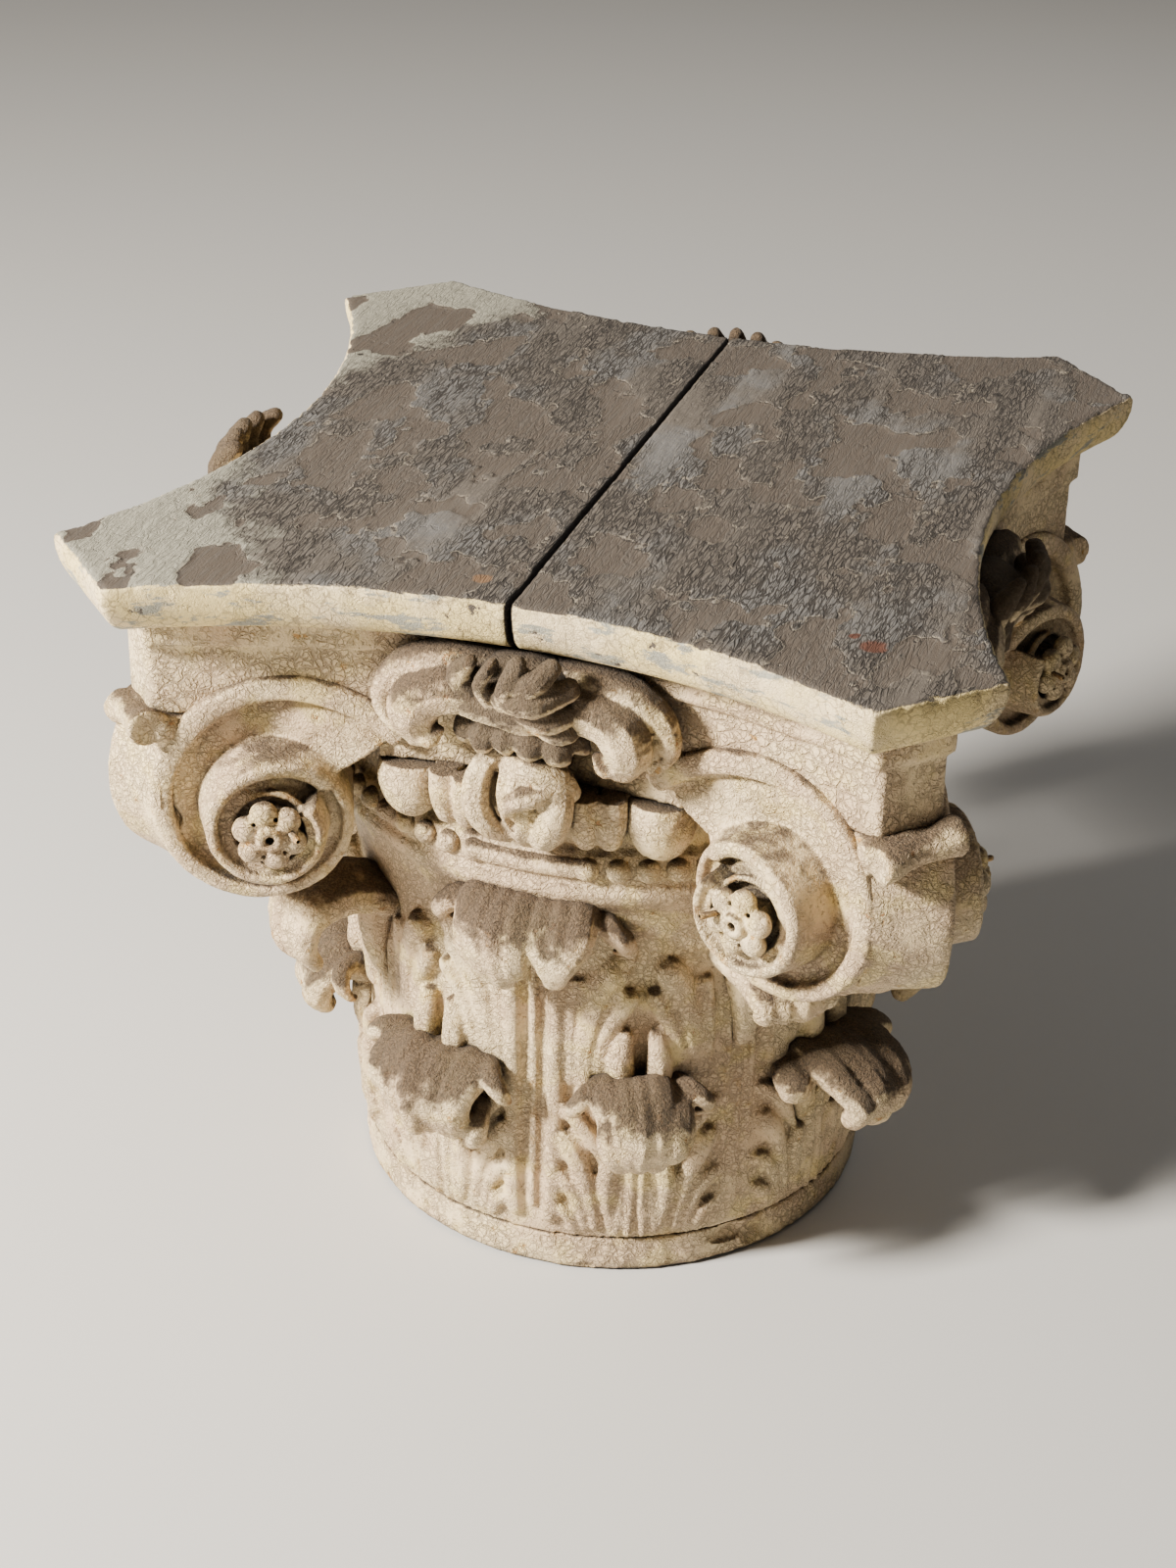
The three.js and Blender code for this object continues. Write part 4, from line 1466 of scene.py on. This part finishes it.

# %% [markdown]
# One function mixes the carving's paint, layer by layer: cream that drifts to pinkish beige and yellow,
# crackle, chips down to ochre ground and bare wood, dust on all that faces up, and dirt with painted
# shade in the hollows.
# The flowers and leaves get more dust, and the frieze larger cells, by its values.

# %% Colours of the carving
CREAM, PINKISH, YELLOW = tone(0.80, 0.635, 0.37), tone(0.65, 0.47, 0.285), tone(0.81, 0.635, 0.28)
OCHRE, BARE_WOOD = tone(0.50, 0.29, 0.09), tone(0.33, 0.165, 0.06)
# The near black of dirt and painted shade in hollows sits beside the brown of the cracks.
CRACK_BROWN, DIRT_AND_SHADE = tone(0.13, 0.08, 0.045), tone(0.022, 0.014, 0.009)
DUST_PALE, DUST_DARK = tone(0.21, 0.137, 0.078), tone(0.055, 0.035, 0.02)
LEAF_DUST, FLOWER_DUST = tone(0.16, 0.103, 0.058), tone(0.105, 0.068, 0.038)
EDGE_REACH = 0.005  # how far the wear of an edge looks into the piece, in metres
WIDE_CRACKS = 0.42  # density of the wide cracks as a share of that of the fine ones


def start_material(name, reach):
    """A new material: its tree and shader, its place, how far it faces up, is open, and is an edge."""
    material = plain_material(name, (0.7, 0.6, 0.45), 0.7)
    tree = material.node_tree
    place = add(tree, "TexCoord", {}).outputs["Object"]
    up = add(tree, "SeparateXYZ", {0: add(tree, "NewGeometry", {}).outputs["Normal"]}).outputs[2]
    opened = add(tree, "AmbientOcclusion", {"Distance": reach}, samples=4).outputs["AO"]
    edge = add(tree, "AmbientOcclusion", {"Distance": EDGE_REACH}, samples=2, inside=True, only_local=True)
    return material, tree, place, up, opened, edge.outputs["AO"]


def finish_material(tree, color, rough, height, distance, strength):
    shader = tree.nodes["Principled BSDF"]
    bump = add(tree, "Bump", {"Height": height, "Distance": distance, "Strength": strength}).outputs[0]
    for socket, name in ((color, "Base Color"), (rough, "Roughness"), (bump, "Normal")):
        tree.links.new(socket, shader.inputs[name])


# %% Paint of the carving
def carved_paint(name, cell, crackle, chips, dust, yellow, reach=0.03, fur=DUST_PALE):
    """Old paint: size of the crackle's cells in mm, amounts of what lies on it, and reach of the dirt and
    painted shade.
    """
    material, tree, place, up, opened, edge = start_material(name, reach)
    cracks = place_group(tree, CRACKLE, Place=place, Density=1 / (cell * MM), Amount=crackle)
    wide = place_group(tree, CRACKLE, Place=place, Density=WIDE_CRACKS / (cell * MM), Amount=crackle)
    chipped = place_group(tree, CHIPS, Place=place, Edge=edge, Amount=chips)
    settled = place_group(tree, DUST, Place=place, Up=up, Open=opened, Amount=dust)
    lines = calculate(tree, "MAXIMUM", cracks["Crack"], wide["Crack"])
    mottle = grain(tree, place, 2.6, 4.0, 0.65)
    pits = patches(tree, place, 3.4, 0.61, 0.67, 3.0, 0.7)

    paint = blend(tree, patches(tree, place, 75, 0.38, 0.62), CREAM, PINKISH)
    ground = blend(tree, patches(tree, place, 6, 0.45, 0.6), OCHRE, BARE_WOOD)
    furry = blend(tree, ease(tree, settled["Fuzz"], 0.40, 0.66), DUST_DARK, fur)
    paint = layered(tree, paint, (
        (patches(tree, place, 26, 0.50, 0.68, 2.0), yellow, YELLOW),
        (ease(tree, mottle, 0.50, 0.72), 0.34, DUST_PALE),
        (pits, 0.5, CRACK_BROWN),
        (cracks["Shade"], 0.16, PINKISH),
        (lines, 0.5, CRACK_BROWN),
        (chipped["Chip"], 1.0, ground),
        (settled["Dust"], 0.92, furry),
        # Dirt and painted shade: near black where the surface is closed in.
        (settled["Dirt"], 0.93, DIRT_AND_SHADE),
    ))
    rough = plus(tree, plus(tree, 0.50, times(tree, mottle, 0.22)), times(tree, settled["Dust"], 0.3))
    height = plus(tree, times(tree, mottle, 0.5), times(tree, grain(tree, place, 1.1, 2.0, 0.6), 0.4))
    height = minus(tree, height, times(tree, calculate(tree, "MAXIMUM", lines, pits), 0.7))
    height = minus(tree, height, times(tree, chipped["Rim"], 0.5))
    height = plus(tree, height, times(tree, times(tree, settled["Fuzz"], settled["Dust"]), 1.7))
    finish_material(tree, paint, rough, height, 0.002, 1.0)
    return material


FINISHES = {name: carved_paint(name, *values) for name, *values in (
    ("frieze_paint", 4.8, 0.95, 0.2, 0.6, 0.45),
    ("volute_paint", 3.6, 0.85, 0.4, 0.62, 0.8),
    ("bell_paint", 3.8, 0.8, 0.35, 0.85, 0.8, 0.016),
    ("band_paint", 4.0, 0.8, 0.45, 0.95, 0.5),
    ("dusty_paint", 3.6, 0.7, 0.6, 1.55, 0.55, 0.03, LEAF_DUST),
    ("flower_paint", 4.0, 0.6, 0.5, 2.7, 0.5, 0.03, FLOWER_DUST),
    ("foot_paint", 4.6, 0.95, 0.5, 0.7, 0.7),
)}
print("finishes", sorted(FINISHES))

# %% [markdown]
# ## Paint of the boards
#
# The top is the weathered side: grey paint split along the grain, bluish where it is thin, with brown
# bare patches between lifted edges. Its left end keeps a pale grey-green coat. A few stains sit where
# iron has rusted, and a small hole and a short crack are painted as dark spots of shade. The moulded
# edge is cream, scuffed to grey-green.

# %% Colours of the boards
GREY_BROWN, BLUISH = tone(0.092, 0.077, 0.063), tone(0.118, 0.112, 0.106)
BARE_BROWN, SPLIT_AND_SHADE_DARK = tone(0.084, 0.065, 0.049), tone(0.022, 0.017, 0.013)
FLAKE_EDGE, PALE_COAT = tone(0.26, 0.22, 0.165), tone(0.29, 0.275, 0.215)
RUST, ORANGE, SCUFF = tone(0.085, 0.03, 0.016), tone(0.15, 0.083, 0.04), tone(0.33, 0.315, 0.25)
# Stains on the top, and two spots of painted shade for a hole and a crack: x, y and radius in mm, and colour
STAINS_AND_SHADE_SPOTS = ((220, -222, 9, RUST), (-27, -211, 7, ORANGE), (206, -212, 4, RUST), (212, 206, 4, SPLIT_AND_SHADE_DARK),
          (-244, 123, 3, SPLIT_AND_SHADE_DARK))


def stain_and_shade_mask(tree, place, x, y, radius):
    middle = (x * MM, y * MM, TOP * MM)
    away = add(tree, "VectorMath", {0: place, 1: middle}, operation="DISTANCE").outputs["Value"]
    away = plus(tree, away, times(tree, grain(tree, place, 5, 4.0, 0.7), radius * MM))
    return ease(tree, away, 1.6 * radius * MM, 1.2 * radius * MM)


# %% [markdown]
# Three masks of the top are worth a function each. The splits run along the grain, so their pattern is
# stretched that way. The pale coat lies where x is low and y is far from the middle. A band round each
# flake is the part of the stored attribute between two values.

# %% Masks of the top
def grain_splits(tree, place):
    rows = []
    for stretch, cell, amount in ((0.13, 3.4, 1.0), (0.16, 2.4, 0.9)):
        row = place_group(tree, CRACKLE, Place=stretched(tree, place, 1.0, stretch, 1.0),
                          Density=1 / (cell * MM), Amount=amount)
        rows.append(row["Crack"])
    return calculate(tree, "MAXIMUM", *rows)


def pale_coat(tree, place, x, y):
    sideways = plus(tree, times(tree, x, -1.0), times(tree, calculate(tree, "ABSOLUTE", y), 0.5))
    sideways = plus(tree, sideways, times(tree, grain(tree, place, 40, 5.0, 0.65), 0.16))
    return ease(tree, sideways, 0.352, 0.392)


def flake_band(tree, left, broken, rise, fall):
    return times(tree, times(tree, ease(tree, left, *rise), ease(tree, left, *fall)), broken)


# %% Board material
def board_paint():
    material, tree, place, up, opened, edge = start_material("board_paint", 0.02)
    left = add(tree, "Attribute", {}, attribute_name="paint_left").outputs["Fac"]
    cracks = place_group(tree, CRACKLE, Place=place, Density=1 / (7 * MM), Amount=0.8)
    chipped = place_group(tree, CHIPS, Place=place, Edge=edge, Amount=0.45)
    settled = place_group(tree, DUST, Place=place, Up=0.0, Open=opened, Amount=0.4)
    fibres = grain(tree, stretched(tree, place, 1.0, 0.06, 1.0), 1.6, 4.0, 0.7)
    fuzz = grain(tree, place, 1.8, 4.0, 0.7)
    kept = ease(tree, left, 0.46, 0.56)
    x, y, _ = add(tree, "SeparateXYZ", {0: place}).outputs
    pale = pale_coat(tree, place, x, y)

    thin = patches(tree, stretched(tree, place, 1.0, 0.6, 1.0), 62, 0.46, 0.62, 4.0)
    coat = blend(tree, thin, GREY_BROWN, BLUISH)
    coat = layered(tree, coat, ((ease(tree, fuzz, 0.48, 0.7), 0.35, FLAKE_EDGE),))
    end_coat = layered(tree, PALE_COAT, ((ease(tree, fuzz, 0.5, 0.65), 0.4, GREY_BROWN),))
    coat = blend(tree, pale, coat, end_coat)
    top = blend(tree, kept, blend(tree, ease(tree, fibres, 0.42, 0.66), BARE_BROWN, GREY_BROWN), coat)
    splits = times(tree, grain_splits(tree, place), minus(tree, 1.0, times(tree, pale, 0.7)))
    splits = times(tree, splits, plus(tree, 0.3, times(tree, kept, 0.65)))
    broken = patches(tree, place, 7, 0.42, 0.58, 4.0, 0.7)
    top = layered(tree, top, (
        (splits, 1.0, SPLIT_AND_SHADE_DARK),
        (flake_band(tree, left, broken, (0.50, 0.53), (0.60, 0.55)), 0.8, FLAKE_EDGE),
        (flake_band(tree, left, broken, (0.42, 0.47), (0.52, 0.49)), 0.85, SPLIT_AND_SHADE_DARK),
    ))
    # Stains, and spots of painted shade where a small hole and a short crack are.
    for spot_x, spot_y, radius, colour in STAINS_AND_SHADE_SPOTS:
        top = blend(tree, stain_and_shade_mask(tree, place, spot_x, spot_y, radius), top, colour)

    side = blend(tree, patches(tree, place, 60, 0.4, 0.62), CREAM, YELLOW)
    side = layered(tree, side, (
        (cracks["Crack"], 0.6, CRACK_BROWN),
        (patches(tree, stretched(tree, place, 0.5, 0.5, 1.6), 20, 0.54, 0.60, 5.0, 0.65), 1.0, SCUFF),
        (chipped["Chip"], 1.0, BARE_BROWN),
        # Dirt and painted shade in the closed-in corners of the moulded edge.
        (settled["Dirt"], 0.8, DIRT_AND_SHADE),
        # The inside of the seam is painted near black: dirt and painted shade in the gap between the boards.
        (ease(tree, calculate(tree, "ABSOLUTE", x), 0.0034, 0.0022), 1.0, DIRT_AND_SHADE),  # inside the seam
    ))
    facing = ease(tree, plus(tree, up, spread(tree, fuzz, 0.3)), 0.72, 0.9)
    rough = minus(tree, plus(tree, 0.62, times(tree, fuzz, 0.3)), times(tree, pale, 0.12))
    height = minus(tree, times(tree, fuzz, 0.4), splits)
    height = plus(tree, height, times(tree, fibres, 0.4))
    height = minus(tree, height, times(tree, chipped["Rim"], 0.5))
    finish_material(tree, blend(tree, facing, side, top), rough, height, 0.0013, 0.9)
    return material


FINISHES["board_paint"] = board_paint()
print("boards in", FINISHES["board_paint"].name)

# %% [markdown]
# Each piece is matched to its finish by the first word of its name.

# %% Finishes on the pieces
FINISH_OF = {
    "board": "board_paint", "frieze": "frieze_paint", "bell": "bell_paint", "bead": "bell_paint",
    "volute": "volute_paint", "corner": "band_paint", "egg": "band_paint", "dart": "band_paint",
    "centre": "band_paint", "husk": "dusty_paint", "flower": "flower_paint", "lower": "dusty_paint",
    "upper": "dusty_paint", "foot": "foot_paint",
}
for piece in finished:
    piece.data.materials.clear()
    piece.data.materials.append(FINISHES[FINISH_OF[piece.name.split("_")[0]]])
print("dressed", len(finished), "pieces")
